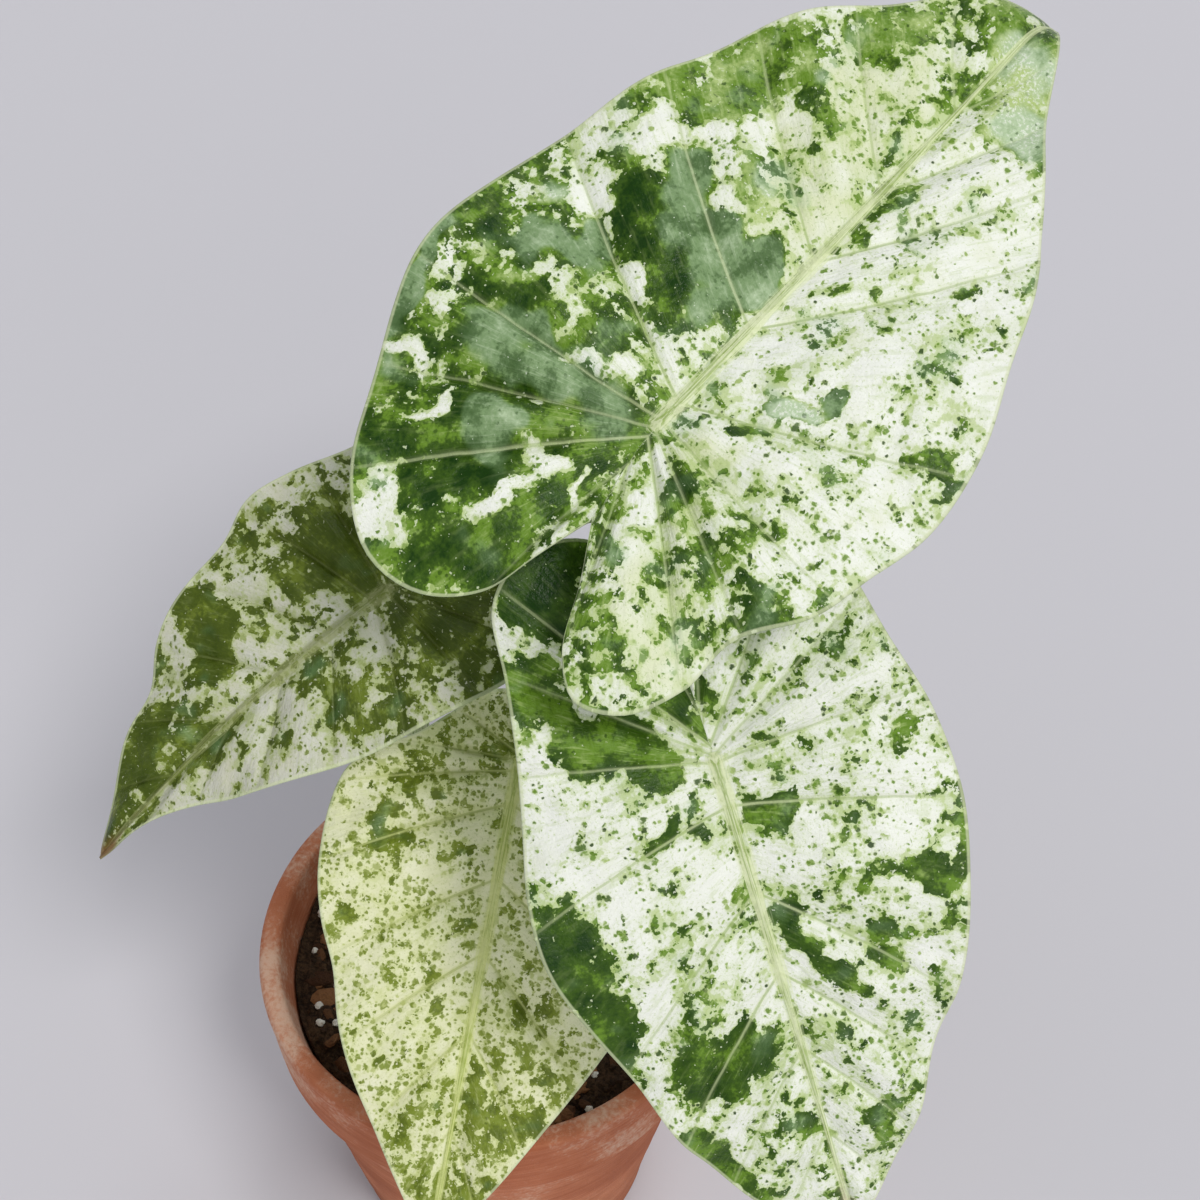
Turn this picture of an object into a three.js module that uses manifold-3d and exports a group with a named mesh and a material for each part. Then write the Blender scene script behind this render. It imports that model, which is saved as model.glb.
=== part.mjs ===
// A young variegated Alocasia odora in a plain clay pot: four leaves on one short stem.
// Millimetres, +Z up. The origin is the middle of the pot's underside.

import * as THREE from 'three';
import { mergeVertices } from 'three/addons/utils/BufferGeometryUtils.js';
import Module from 'manifold-3d';

const wasm = await Module();
wasm.setup();

// Clearance between neighbouring pieces.
const GAP = 0.3;

// Pot: a turned clay pot with a banded rim and a ring of drain holes round the middle of its floor.
const POT_HEIGHT = 98;
const POT_BASE_RADIUS = 38;
const POT_NECK_RADIUS = 51;
const POT_RIM_RADIUS = 56;
const POT_BAND_HEIGHT = 23;
const POT_BAND_TAPER = 1.5;
const POT_WALL = 5;
const POT_FLOOR = 6;
const POT_EDGE = 1.6;
const DRAIN_HOLES = 4;
const DRAIN_RADIUS = 4;
const DRAIN_RING_RADIUS = 19;
const DRAIN_SEGMENTS = 16;
const ROUND_SEGMENTS = 40;

// Soil: it fills the pot to a finger's width below the rim, rises a little to its middle and is uneven on
// top, by waves of [size, turn per mm along x, turn per mm along y, start].
const SOIL_TOP = 86;
const SOIL_CROWN = 1.5;
const SOIL_RINGS = [0.92, 0.72, 0.5, 0.32];
const SOIL_WAVES = [[0.6, 0.21, 0.17, 0.4], [0.6, 0.21, -0.17, 1.2], [0.6, 0.11, -0.33, 0]];

// Stem: the short thick stem that the leaf stalks grow from, standing in a plain hole in the soil.
const STEM_RADIUS = 12.5;
const STEM_FOOT = 52;
const STEM_TOP = 112;
const SOCKET_DEPTH = 15;
const STALK_RING_RADIUS = 6.4;
const SCAR_DEPTH = 0.8;

// Blades: each half is drawn between the midrib and its margin, along ten intervals of lateral veins.
const VEIN_INTERVALS = 10;
const CELLS_PER_INTERVAL = 3;
const ROWS = [0, 0.06, 0.26, 0.5, 0.74, 0.9, 1];
const BLADE_THICKNESS = 0.8;
const MIDRIB_DEPTH = 1.5;
const BOSS_DEPTH = 2.2;
const BOSS_REACH = 5;
const VEIN_BOW = 0.04;
const CHANNEL_HALF_WIDTH = 6;

// Stalks: round and tapered, arching from the stem to the underside of the blade.
const STALK_SIDES = 8;
const STALK_RINGS = 18;

// The four leaves. In a blade's own plan x runs to its right, y from the stalk to the tip, z up from its
// upper face. notch is the inner end of the slit between the lobes. left and right are points on the
// margin from the notch round the lobe to the tip. origins are the places on the midrib where the lateral
// veins start, and leftEnds and rightEnds the shares of each margin where they end. The upper face droops
// towards the tip and the lobes, folds up from the midrib, sags at the margin, puffs up between the veins
// and waves along its margin.
const LEAVES = {
  top: {
    joint: [36, -11.5, 287],
    heading: 44.7,
    rise: 17,
    roll: -15.8,
    notch: [4, -21],
    tip: [-3, 119],
    left: [[1, -31], [-3, -42], [-12, -49.5], [-23, -50.5], [-33, -44], [-42, -30], [-50, -15], [-54.5, 0],
      [-54, 16], [-50, 36], [-45, 55], [-39.5, 72.5], [-30, 87], [-20, 101], [-9, 112]],
    right: [[9.5, -30], [15.5, -41], [23, -46], [31, -42], [35.5, -32], [36, -21], [43.5, -9.5], [46, 4],
      [48.5, 18], [46, 34], [39, 50], [33, 64.5], [25, 77], [14.5, 90], [5.5, 105]],
    origins: [-9, -2.5, -0.5, 1.5, 6, 25, 43, 62, 84],
    leftEnds: [0.085, 0.25, 0.335, 0.42, 0.575, 0.665, 0.75, 0.83, 0.91],
    rightEnds: [0.09, 0.235, 0.3, 0.38, 0.53, 0.735, 0.8, 0.865, 0.93],
    tipDroop: 0.0004,
    lobeDroop: 0.003,
    curlStart: 104,
    curl: 0.06,
    fold: 0.1,
    sag: 0.0013,
    notchLift: 3,
    puff: 1.8,
    wave: 2.4,
    leftWaves: 5.5,
    rightWaves: 5,
    leftPhase: 0.4,
    rightPhase: 3.4,
    socketAngle: 100,
    leanAngle: 80,
    lean: 9,
    stalkRadius: [3.8, 2.5],
    stalkReach: [0.42, 0.3],
    colour: 0x8fae7c,
    stalkColour: 0x9db37e,
  },
  left: {
    joint: [-16.5, 3, 225],
    heading: -150.9,
    rise: -22.2,
    roll: 16.2,
    notch: [0, -14],
    tip: [-3.5, 82.5],
    left: [[-6, -24], [-14, -31], [-22, -30], [-28, -22], [-30.5, -10], [-29.8, 2], [-27.6, 13], [-24.5, 25],
      [-20, 38], [-14.5, 49.5], [-9.5, 58], [-6, 67.5], [-4.2, 75]],
    right: [[6, -24], [14, -31], [22, -30], [27.5, -21], [29.5, -9], [31.3, 3.4], [32.8, 14], [29.4, 22.5],
      [26.3, 33], [21.5, 46], [15, 53], [11.4, 61], [5.5, 70.5], [0.5, 77.5]],
    origins: [-6, -1.5, -0.3, 1, 4, 15, 28, 42, 58],
    leftEnds: [0.085, 0.2, 0.3, 0.4, 0.51, 0.62, 0.73, 0.83, 0.915],
    rightEnds: [0.085, 0.2, 0.3, 0.4, 0.51, 0.62, 0.72, 0.82, 0.91],
    tipDroop: 0.0028,
    lobeDroop: 0.0025,
    curlStart: 90,
    curl: 0,
    fold: 0.22,
    sag: 0.003,
    notchLift: 2,
    puff: 1.2,
    wave: 1.8,
    leftWaves: 4.5,
    rightWaves: 5,
    leftPhase: 1.5,
    rightPhase: 0.6,
    socketAngle: 185,
    leanAngle: 170,
    lean: 14,
    stalkRadius: [3.4, 2.1],
    stalkReach: [0.45, 0.25],
    colour: 0x8c9a72,
    stalkColour: 0x98a878,
  },
  low: {
    joint: [9, -10, 184],
    heading: -102.9,
    rise: -35.2,
    roll: 8.2,
    notch: [0, -8],
    tip: [0, 107],
    left: [[-3, -12], [-8, -13], [-15, -9], [-22.5, -2], [-30, 4], [-35.5, 12.5], [-36.5, 22], [-36, 33],
      [-33.5, 45], [-28, 57.5], [-22.5, 69], [-16.5, 80], [-9, 93]],
    right: [[3, -14], [8.5, -13.5], [15.6, -7.5], [22, -2], [28.5, 1.8], [34.3, 7], [36.9, 15], [36.8, 28],
      [34, 40], [30.3, 49], [27, 60], [21.5, 72], [14.5, 83.5], [7, 95]],
    origins: [-4, -1.5, -0.3, 2, 9, 25, 41, 58, 79],
    leftEnds: [0.06, 0.13, 0.22, 0.32, 0.43, 0.56, 0.68, 0.8, 0.905],
    rightEnds: [0.06, 0.13, 0.22, 0.32, 0.43, 0.56, 0.68, 0.8, 0.905],
    tipDroop: 0.0012,
    lobeDroop: 0.002,
    curlStart: 90,
    curl: 0,
    fold: 0.26,
    sag: 0.003,
    notchLift: 1,
    puff: 1.4,
    wave: 1.8,
    leftWaves: 5,
    rightWaves: 5.5,
    leftPhase: 0.2,
    rightPhase: 2.2,
    socketAngle: 265,
    leanAngle: 250,
    lean: 5,
    stalkRadius: [3.4, 2.1],
    stalkReach: [0.45, 0.25],
    colour: 0xb7bd8a,
    stalkColour: 0xa9b482,
  },
  front: {
    joint: [47, -48, 237],
    heading: -65.1,
    rise: -45.6,
    roll: -15.9,
    notch: [0.7, -21],
    tip: [0, 106],
    left: [[-3, -32], [-9, -43], [-18, -46.5], [-27, -40.5], [-33, -27], [-36.4, -12.4], [-40.6, 3],
      [-41.8, 19], [-38.5, 35.5], [-32.5, 54], [-24, 69], [-16.5, 84], [-7.5, 97]],
    right: [[4, -32], [8, -43], [16, -46.5], [25, -44.5], [30.5, -38], [32, -25], [34, -12], [37.2, 2],
      [40.3, 15], [40.8, 28], [37, 43], [31.5, 58.5], [26.5, 73], [20, 86], [10, 98]],
    origins: [-9, -2.5, -0.5, 1, 9.5, 27, 44, 61, 81],
    leftEnds: [0.085, 0.22, 0.32, 0.42, 0.53, 0.72, 0.8, 0.87, 0.935],
    rightEnds: [0.085, 0.22, 0.3, 0.39, 0.53, 0.7, 0.79, 0.86, 0.93],
    tipDroop: 0.0024,
    lobeDroop: 0.0022,
    curlStart: 90,
    curl: 0,
    fold: 0.2,
    sag: 0.0028,
    notchLift: 3,
    puff: 1.8,
    wave: 2.4,
    leftWaves: 5,
    rightWaves: 6,
    leftPhase: 2.6,
    rightPhase: 0.9,
    socketAngle: 15,
    leanAngle: 12,
    lean: 20,
    stalkRadius: [3.6, 2.4],
    stalkReach: [0.5, 0.32],
    colour: 0xc3ceb4,
    stalkColour: 0xa7b98a,
  },
};

const radians = THREE.MathUtils.degToRad;
const clamp = THREE.MathUtils.clamp;

// The value at `at` of the broken line whose corners are evenly spaced values.
function along(values, at) {
  const k = Math.min(Math.floor(at), values.length - 2);
  return values[k] + (values[k + 1] - values[k]) * (at - k);
}

// A geometry with only shared positions, ready to be one closed solid.
function welded(geometry) {
  geometry.deleteAttribute('normal');
  geometry.deleteAttribute('uv');
  return mergeVertices(geometry, 1e-4);
}

function toManifold(geometry) {
  const vertProperties = new Float32Array(geometry.attributes.position.array);
  const triVerts = new Uint32Array(geometry.index.array);
  return new wasm.Manifold(new wasm.Mesh({ numProp: 3, vertProperties, triVerts }));
}

function fromManifold(solid) {
  const mesh = solid.getMesh();
  const geometry = new THREE.BufferGeometry();
  geometry.setAttribute('position', new THREE.BufferAttribute(mesh.vertProperties, 3));
  geometry.setIndex(new THREE.BufferAttribute(mesh.triVerts, 1));
  return geometry;
}

function namedMesh(name, geometry, colour, roughness) {
  geometry.computeVertexNormals();
  const material = new THREE.MeshStandardMaterial({ color: colour, roughness, metalness: 0 });
  const mesh = new THREE.Mesh(geometry, material);
  mesh.name = name;
  return mesh;
}

// A profile of radius and height pairs, turned round the vertical axis.
function turned(profile) {
  const points = profile.map(([radius, height]) => new THREE.Vector2(radius, height));
  const geometry = new THREE.LatheGeometry(points, ROUND_SEGMENTS);
  geometry.rotateX(Math.PI / 2);
  return welded(geometry);
}

// The radius of the pot's inner face at a height.
function potInnerRadius(height) {
  const share = (height - POT_FLOOR) / (POT_HEIGHT - POT_FLOOR);
  const low = POT_BASE_RADIUS - POT_WALL + 1;
  const high = POT_RIM_RADIUS - POT_WALL;
  return low + (high - low) * share;
}

function potGeometry() {
  const bandFoot = POT_HEIGHT - POT_BAND_HEIGHT;
  const innerTop = potInnerRadius(POT_HEIGHT);
  let solid = toManifold(turned([
    [0, 0],
    [POT_BASE_RADIUS - POT_EDGE, 0],
    [POT_BASE_RADIUS, POT_EDGE],
    [POT_NECK_RADIUS, bandFoot - 1],
    [POT_NECK_RADIUS + POT_EDGE, bandFoot],
    [POT_RIM_RADIUS - POT_BAND_TAPER - POT_EDGE, bandFoot],
    [POT_RIM_RADIUS - POT_BAND_TAPER, bandFoot + POT_EDGE],
    [POT_RIM_RADIUS, POT_HEIGHT - 2 * POT_EDGE],
    [POT_RIM_RADIUS - 0.5 * POT_EDGE, POT_HEIGHT - 0.5 * POT_EDGE],
    [POT_RIM_RADIUS - 1.5 * POT_EDGE, POT_HEIGHT],
    [innerTop + 0.5 * POT_EDGE, POT_HEIGHT - 0.2 * POT_EDGE],
    [innerTop, POT_HEIGHT - POT_EDGE],
    [potInnerRadius(POT_FLOOR) + 0.5, POT_FLOOR + 2],
    [potInnerRadius(POT_FLOOR) - 2, POT_FLOOR],
    [0, POT_FLOOR],
  ]));
  for (let k = 0; k < DRAIN_HOLES; k++) {
    const turn = 2 * Math.PI * (k + 0.5) / DRAIN_HOLES;
    const drill = new THREE.CylinderGeometry(DRAIN_RADIUS, DRAIN_RADIUS, 3 * POT_FLOOR, DRAIN_SEGMENTS);
    drill.rotateX(Math.PI / 2);
    drill.translate(DRAIN_RING_RADIUS * Math.cos(turn), DRAIN_RING_RADIUS * Math.sin(turn), 0);
    solid = solid.subtract(toManifold(welded(drill)));
  }
  return fromManifold(solid);
}

function soilGeometry() {
  const foot = POT_FLOOR + GAP;
  const wall = (height) => potInnerRadius(height) - 2 * GAP;
  const edge = wall(SOIL_TOP);
  const geometry = turned([
    [0, foot],
    [wall(foot) - 3, foot],
    [wall(foot), foot + 3],
    [edge, SOIL_TOP - SOIL_CROWN],
    ...SOIL_RINGS.map((share) => [edge * share, SOIL_TOP + SOIL_CROWN * (1 - share)]),
    [0, SOIL_TOP + SOIL_CROWN],
  ]);
  const position = geometry.attributes.position;
  for (let i = 0; i < position.count; i++) {
    const [x, y, z] = [position.getX(i), position.getY(i), position.getZ(i)];
    if (z > SOIL_TOP - 1) {
      let swell = 0;
      for (const [size, alongX, alongY, start] of SOIL_WAVES) {
        swell += size * Math.sin(alongX * x + alongY * y + start);
      }
      position.setZ(i, z + swell);
    }
  }
  const hole = turned([
    [0, STEM_FOOT - GAP],
    [STEM_RADIUS + GAP, STEM_FOOT - GAP],
    [STEM_RADIUS + GAP, POT_HEIGHT],
    [0, POT_HEIGHT],
  ]);
  return fromManifold(toManifold(geometry).subtract(toManifold(hole)));
}

// The margin of one half of a blade, from the notch to the tip.
function marginCurve(leaf, side) {
  const points = [leaf.notch, ...leaf[side], leaf.tip].map(([x, y]) => new THREE.Vector3(x, y, 0));
  const curve = new THREE.CatmullRomCurve3(points, false, 'centripetal');
  curve.arcLengthDivisions = 800;
  return curve;
}

// A point on the line from the notch through the stalk to the tip.
function spinePoint(leaf, vein) {
  const y = along([leaf.notch[1], ...leaf.origins, leaf.tip[1]], vein);
  const x = y < 0
    ? leaf.notch[0] * (y / leaf.notch[1]) ** 1.5
    : leaf.tip[0] * (y / leaf.tip[1]) ** 2;
  return new THREE.Vector3(x, y, 0);
}

// A point of a half blade in plan: `vein` counts the lateral veins and `out` runs from spine to margin.
function planPoint(leaf, side, margin, vein, out) {
  const start = spinePoint(leaf, vein);
  const end = margin.getPointAt(along([0, ...leaf[`${side}Ends`], 1], vein));
  const hand = side === 'left' ? -1 : 1;
  const bow = VEIN_BOW * clamp((vein - 2.5) / 2, -1, 1) * hand;
  const middle = start.clone().add(end).multiplyScalar(0.5);
  middle.x += bow * (end.y - start.y);
  middle.y -= bow * (end.x - start.x);
  return new THREE.QuadraticBezierCurve3(start, middle, end).getPoint(out);
}

// The height of the upper face over the blade's plan.
function upperFace(leaf, side, point, vein, out) {
  const { x, y } = point;
  const droop = y > 0 ? leaf.tipDroop * y * y : leaf.lobeDroop * y * y;
  const curl = leaf.curl * Math.max(y - leaf.curlStart, 0) ** 2;
  const fold = leaf.fold * (Math.hypot(x, CHANNEL_HALF_WIDTH) - CHANNEL_HALF_WIDTH) - leaf.sag * x * x;
  const lift = leaf.notchLift * out * Math.max(1 - vein / 2, 0) ** 2;
  const puff = leaf.puff * Math.sin(Math.PI * vein) ** 2 * Math.sin(Math.PI * out);
  const turns = leaf[`${side}Waves`] * vein / VEIN_INTERVALS;
  const ends = Math.sin(Math.PI * vein / VEIN_INTERVALS) ** 0.5;
  const wave = leaf.wave * ends * out ** 3 * Math.sin(2 * Math.PI * turns + leaf[`${side}Phase`]);
  return fold - droop - curl + lift + puff + wave;
}

// The blade's thickness: a thin sheet, a midrib that stands out below, and a boss over the stalk.
function thickness(leaf, y, row) {
  if (row > 0) {
    return BLADE_THICKNESS;
  }
  const reach = y > 0 ? leaf.tip[1] : -leaf.notch[1] * 1.5;
  const midrib = MIDRIB_DEPTH * (1 - Math.abs(y) / reach);
  const boss = BOSS_DEPTH * Math.max(1 - Math.abs(y) / BOSS_REACH, 0);
  return BLADE_THICKNESS + midrib + boss;
}

// One line of points from the notch to the tip, each with its upper and lower heights.
function bladeColumn(leaf, side, margin, row) {
  const column = [];
  for (let step = 0; step <= VEIN_INTERVALS * CELLS_PER_INTERVAL; step++) {
    const vein = step / CELLS_PER_INTERVAL;
    const point = planPoint(leaf, side, margin, vein, ROWS[row]);
    const top = upperFace(leaf, side, point, vein, ROWS[row]);
    column.push([point.x, point.y, top, top - thickness(leaf, point.y, row)]);
  }
  return column;
}

// One closed sheet: the same grid of points above and below, joined round the margin.
function bladeGeometry(leaf) {
  const steps = VEIN_INTERVALS * CELLS_PER_INTERVAL;
  const margins = { left: marginCurve(leaf, 'left'), right: marginCurve(leaf, 'right') };
  const rows = ROWS.map((_, row) => row);
  const columns = [
    ...rows.toReversed().map((row) => bladeColumn(leaf, 'left', margins.left, row)),
    ...rows.slice(1).map((row) => bladeColumn(leaf, 'right', margins.right, row)),
  ];
  const positions = [];
  const triangle = (a, b, c) => positions.push(...a, ...b, ...c);
  const over = ([x, y, top]) => [x, y, top];
  const under = ([x, y, , bottom]) => [x, y, bottom];
  for (let c = 0; c + 1 < columns.length; c++) {
    for (let s = 0; s < steps; s++) {
      const [a, b] = [columns[c][s], columns[c + 1][s]];
      const [d, e] = [columns[c][s + 1], columns[c + 1][s + 1]];
      for (const corners of [[a, b, e], [a, e, d]]) {
        triangle(...corners.map(over));
        triangle(...corners.map(under).reverse());
      }
    }
  }
  for (const [column, outward] of [[columns[0], false], [columns[columns.length - 1], true]]) {
    for (let s = 0; s < steps; s++) {
      const corners = [over(column[s]), under(column[s]), under(column[s + 1]), over(column[s + 1])];
      const [a, b, c, d] = outward ? corners : [...corners].reverse();
      triangle(a, b, c);
      triangle(a, c, d);
    }
  }
  const geometry = new THREE.BufferGeometry();
  geometry.setAttribute('position', new THREE.Float32BufferAttribute(positions, 3));
  return withoutPoints(welded(geometry));
}

// The rows of a blade meet in one point at the notch and at the tip, where some triangles shrink away.
function withoutPoints(geometry) {
  const index = geometry.index.array;
  const kept = [];
  for (let i = 0; i < index.length; i += 3) {
    const [a, b, c] = [index[i], index[i + 1], index[i + 2]];
    if (a !== b && b !== c && c !== a) {
      kept.push(a, b, c);
    }
  }
  geometry.setIndex(kept);
  return geometry;
}

// The blade's own axes in the pot's frame: the midrib lies along the heading, and rises and rolls.
function bladeRotation(leaf) {
  return new THREE.Euler(radians(leaf.rise), radians(-leaf.roll), radians(leaf.heading - 90), 'ZXY');
}

// The stalk's centre line, from its socket in the stem to just below the boss of its blade.
function stalkCurve(leaf) {
  const start = new THREE.Vector3(STALK_RING_RADIUS, 0, STEM_TOP - SOCKET_DEPTH)
    .applyAxisAngle(new THREE.Vector3(0, 0, 1), radians(leaf.socketAngle));
  const leaning = new THREE.Vector3(0, 0, 1)
    .applyAxisAngle(new THREE.Vector3(0, 1, 0), radians(leaf.lean))
    .applyAxisAngle(new THREE.Vector3(0, 0, 1), radians(leaf.leanAngle));
  const normal = new THREE.Vector3(0, 0, 1).applyEuler(bladeRotation(leaf));
  const depth = BLADE_THICKNESS + MIDRIB_DEPTH + BOSS_DEPTH + GAP;
  const end = new THREE.Vector3(...leaf.joint).addScaledVector(normal, -depth);
  const length = start.distanceTo(end);
  return new THREE.CubicBezierCurve3(
    start,
    start.clone().addScaledVector(leaning, length * leaf.stalkReach[0]),
    end.clone().addScaledVector(normal, -length * leaf.stalkReach[1]),
    end,
  );
}

// A closed tapered tube along a curve, grown round its sides and at its foot by `extra`.
function tubeGeometry(curve, radii, extra) {
  const rings = [];
  const forward = new THREE.Vector3(0, 1, 0);
  for (let k = 0; k <= STALK_RINGS; k++) {
    const share = k / STALK_RINGS;
    const centre = curve.getPointAt(share);
    const tangent = curve.getTangentAt(share);
    const across = new THREE.Vector3().crossVectors(forward, tangent).normalize();
    const front = new THREE.Vector3().crossVectors(tangent, across);
    if (k === 0) {
      centre.addScaledVector(tangent, -extra);
    }
    const radius = radii[0] + (radii[1] - radii[0]) * share + extra;
    const ring = [];
    for (let i = 0; i < STALK_SIDES; i++) {
      const turn = 2 * Math.PI * i / STALK_SIDES;
      ring.push(centre.clone()
        .addScaledVector(across, radius * Math.cos(turn))
        .addScaledVector(front, radius * Math.sin(turn)));
    }
    rings.push(ring);
  }
  const positions = [];
  const triangle = (a, b, c) => positions.push(...a.toArray(), ...b.toArray(), ...c.toArray());
  for (let k = 0; k < STALK_RINGS; k++) {
    for (let i = 0; i < STALK_SIDES; i++) {
      const j = (i + 1) % STALK_SIDES;
      triangle(rings[k][i], rings[k][j], rings[k + 1][j]);
      triangle(rings[k][i], rings[k + 1][j], rings[k + 1][i]);
    }
  }
  for (let i = 1; i + 1 < STALK_SIDES; i++) {
    triangle(rings[0][0], rings[0][i + 1], rings[0][i]);
    triangle(rings[STALK_RINGS][0], rings[STALK_RINGS][i], rings[STALK_RINGS][i + 1]);
  }
  const geometry = new THREE.BufferGeometry();
  geometry.setAttribute('position', new THREE.Float32BufferAttribute(positions, 3));
  return welded(geometry);
}

// The stem, ringed by old leaf scars, with a blind socket for each stalk.
function stemGeometry() {
  let solid = toManifold(turned([
    [0, STEM_FOOT],
    [STEM_RADIUS - 3, STEM_FOOT],
    [STEM_RADIUS, STEM_FOOT + 5],
    [STEM_RADIUS, SOIL_TOP + 3],
    [STEM_RADIUS - SCAR_DEPTH, SOIL_TOP + 6],
    [STEM_RADIUS, SOIL_TOP + 8],
    [STEM_RADIUS - SCAR_DEPTH, SOIL_TOP + 13],
    [STEM_RADIUS, SOIL_TOP + 15],
    [STEM_RADIUS - 2 * SCAR_DEPTH, STEM_TOP - 4],
    [STEM_RADIUS - 4 * SCAR_DEPTH, STEM_TOP],
    [0, STEM_TOP],
  ]));
  for (const leaf of Object.values(LEAVES)) {
    solid = solid.subtract(toManifold(tubeGeometry(stalkCurve(leaf), leaf.stalkRadius, GAP)));
  }
  return fromManifold(solid);
}

const plant = new THREE.Group();
plant.name = 'potted_alocasia';
plant.add(namedMesh('pot', potGeometry(), 0xb5673f, 0.85));
plant.add(namedMesh('soil', soilGeometry(), 0x3b2c22, 0.95));
plant.add(namedMesh('stem', stemGeometry(), 0x8a9a62, 0.6));
for (const [name, leaf] of Object.entries(LEAVES)) {
  const stalk = tubeGeometry(stalkCurve(leaf), leaf.stalkRadius, 0);
  plant.add(namedMesh(`stalk_${name}`, stalk, leaf.stalkColour, 0.5));
  const blade = namedMesh(`blade_${name}`, bladeGeometry(leaf), leaf.colour, 0.45);
  blade.position.set(...leaf.joint);
  blade.rotation.copy(bladeRotation(leaf));
  plant.add(blade);
}

export default plant;
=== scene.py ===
import math

import bmesh
import bpy
import numpy as np
from mathutils import Matrix, Vector, noise


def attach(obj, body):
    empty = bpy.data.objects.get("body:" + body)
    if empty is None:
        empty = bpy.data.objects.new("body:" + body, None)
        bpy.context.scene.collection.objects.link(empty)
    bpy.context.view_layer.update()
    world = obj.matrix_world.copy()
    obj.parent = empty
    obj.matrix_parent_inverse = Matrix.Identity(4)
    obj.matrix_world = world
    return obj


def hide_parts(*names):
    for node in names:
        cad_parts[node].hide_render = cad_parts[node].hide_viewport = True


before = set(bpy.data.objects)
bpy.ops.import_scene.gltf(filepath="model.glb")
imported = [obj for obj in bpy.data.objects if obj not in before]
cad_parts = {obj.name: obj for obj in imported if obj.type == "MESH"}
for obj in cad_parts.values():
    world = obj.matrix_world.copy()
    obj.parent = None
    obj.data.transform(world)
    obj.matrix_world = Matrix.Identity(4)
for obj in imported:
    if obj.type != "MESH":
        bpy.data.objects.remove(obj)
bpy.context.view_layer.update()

# Sizes are in millimetres, as in the part's source, and MM turns them into the frame's metres.
MM = 0.001

# The camera stands where the photograph was taken from: above the plant and in front of it.
CAMERA_PLACE = (0.026, -0.3085, 0.5927)
CAMERA_TILT = 40
CAMERA_LENS = 72

# Blades: ten intervals of lateral veins on each side of the midrib, as in the part's source.
VEIN_INTERVALS = 10
BLADE_THICKNESS = 0.8
MIDRIB_DEPTH = 1.5
BOSS_DEPTH = 2.2
BOSS_REACH = 5
VEIN_BOW = 0.04
STRAIGHT_VEIN = 2.5
CHANNEL_HALF_WIDTH = 6

# The mesh of a blade: steps along each interval, crowded at its veins, and steps outwards from the midrib
# as (start, end, count). The margin turns under in RIM_TURNS steps.
STEPS_PER_INTERVAL = 26
STEP_CROWDING = 0.6
OUT_STEPS = [(0, 0.1, 12), (0.1, 0.94, 36), (0.94, 1, 8)]
RIM_TURNS = 4

# Fine relief of a blade: the midrib lies in a channel, the laterals in grooves, and all stand out below.
# Between the veins the blade is quilted, and a fine ripple runs over it.
MIDRIB_HALF_WIDTH = 1.15
MIDRIB_TAPER = 0.75
MIDRIB_RISE = 0.15
MIDRIB_CHANNEL = 0.6
CHANNEL_WIDTH = 2.6
LATERAL_HALF_WIDTH = 0.38
GROOVE_DEPTH = 0.5
GROOVE_WIDTH = 0.9
HALFWAY_VEIN = 0.3
VEIN_STRENGTH = [0, 0.45, 1, 0.7, 0.85, 1, 1, 0.95, 0.85, 0.6, 0]
VEIN_FADE = 0.35
VEIN_START = (1.5, 4)
RIB_BELOW = 0.45
QUILT_RISE = 1.3
QUILT_SWELL = 0.7
RIPPLE = 0.75
RIPPLE_LENGTH = 7

# The two halves of a blade read the same noises this far to either side, so that they differ.
PATTERN_SHIFT = 300

# The looks of a patch, in the order in which they lie over each other: how green, how grey and how light.
# A patch fades out over PATCH_EDGE, as shares of its size, and its outline wanders by waves of (size, turn
# per mm along x, turn per mm along y, start).
PATCH_EDGE = (0.6, 1.3)
LOOKS = {
    "green": (0.45, 0.15, 0.3),
    "vivid": (0.55, 0.1, 0.42),
    "fresh": (0.24, 0.15, 0.6),
    "dark": (0.5, 0.05, 0.16),
    # grey is the glaucous grey-green; on the top leaf its patches lie partly where the leaf shows sheen, so it
    # is partly painted sheen.
    "grey": (0.55, 0.9, 0.5),
    "half": (0.2, 0.2, 0.4),
    "mottled": (0.06, 0.2, 0.35),
    "mint": (0.35, 0.6, 1.05),
    "pale": (0.1, 0.35, 0.75),
    "white": (-0.38, 0.2, 0.4),
}
WASH_CREAM = 0.75
PATCH_WAVES_X = [(1.6, 0.21, 0.33, 0), (0.9, -0.5, 0.71, 1)]
PATCH_WAVES_Y = [(1.6, 0.31, -0.17, 2), (0.9, 0.67, 0.45, 4)]
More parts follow.
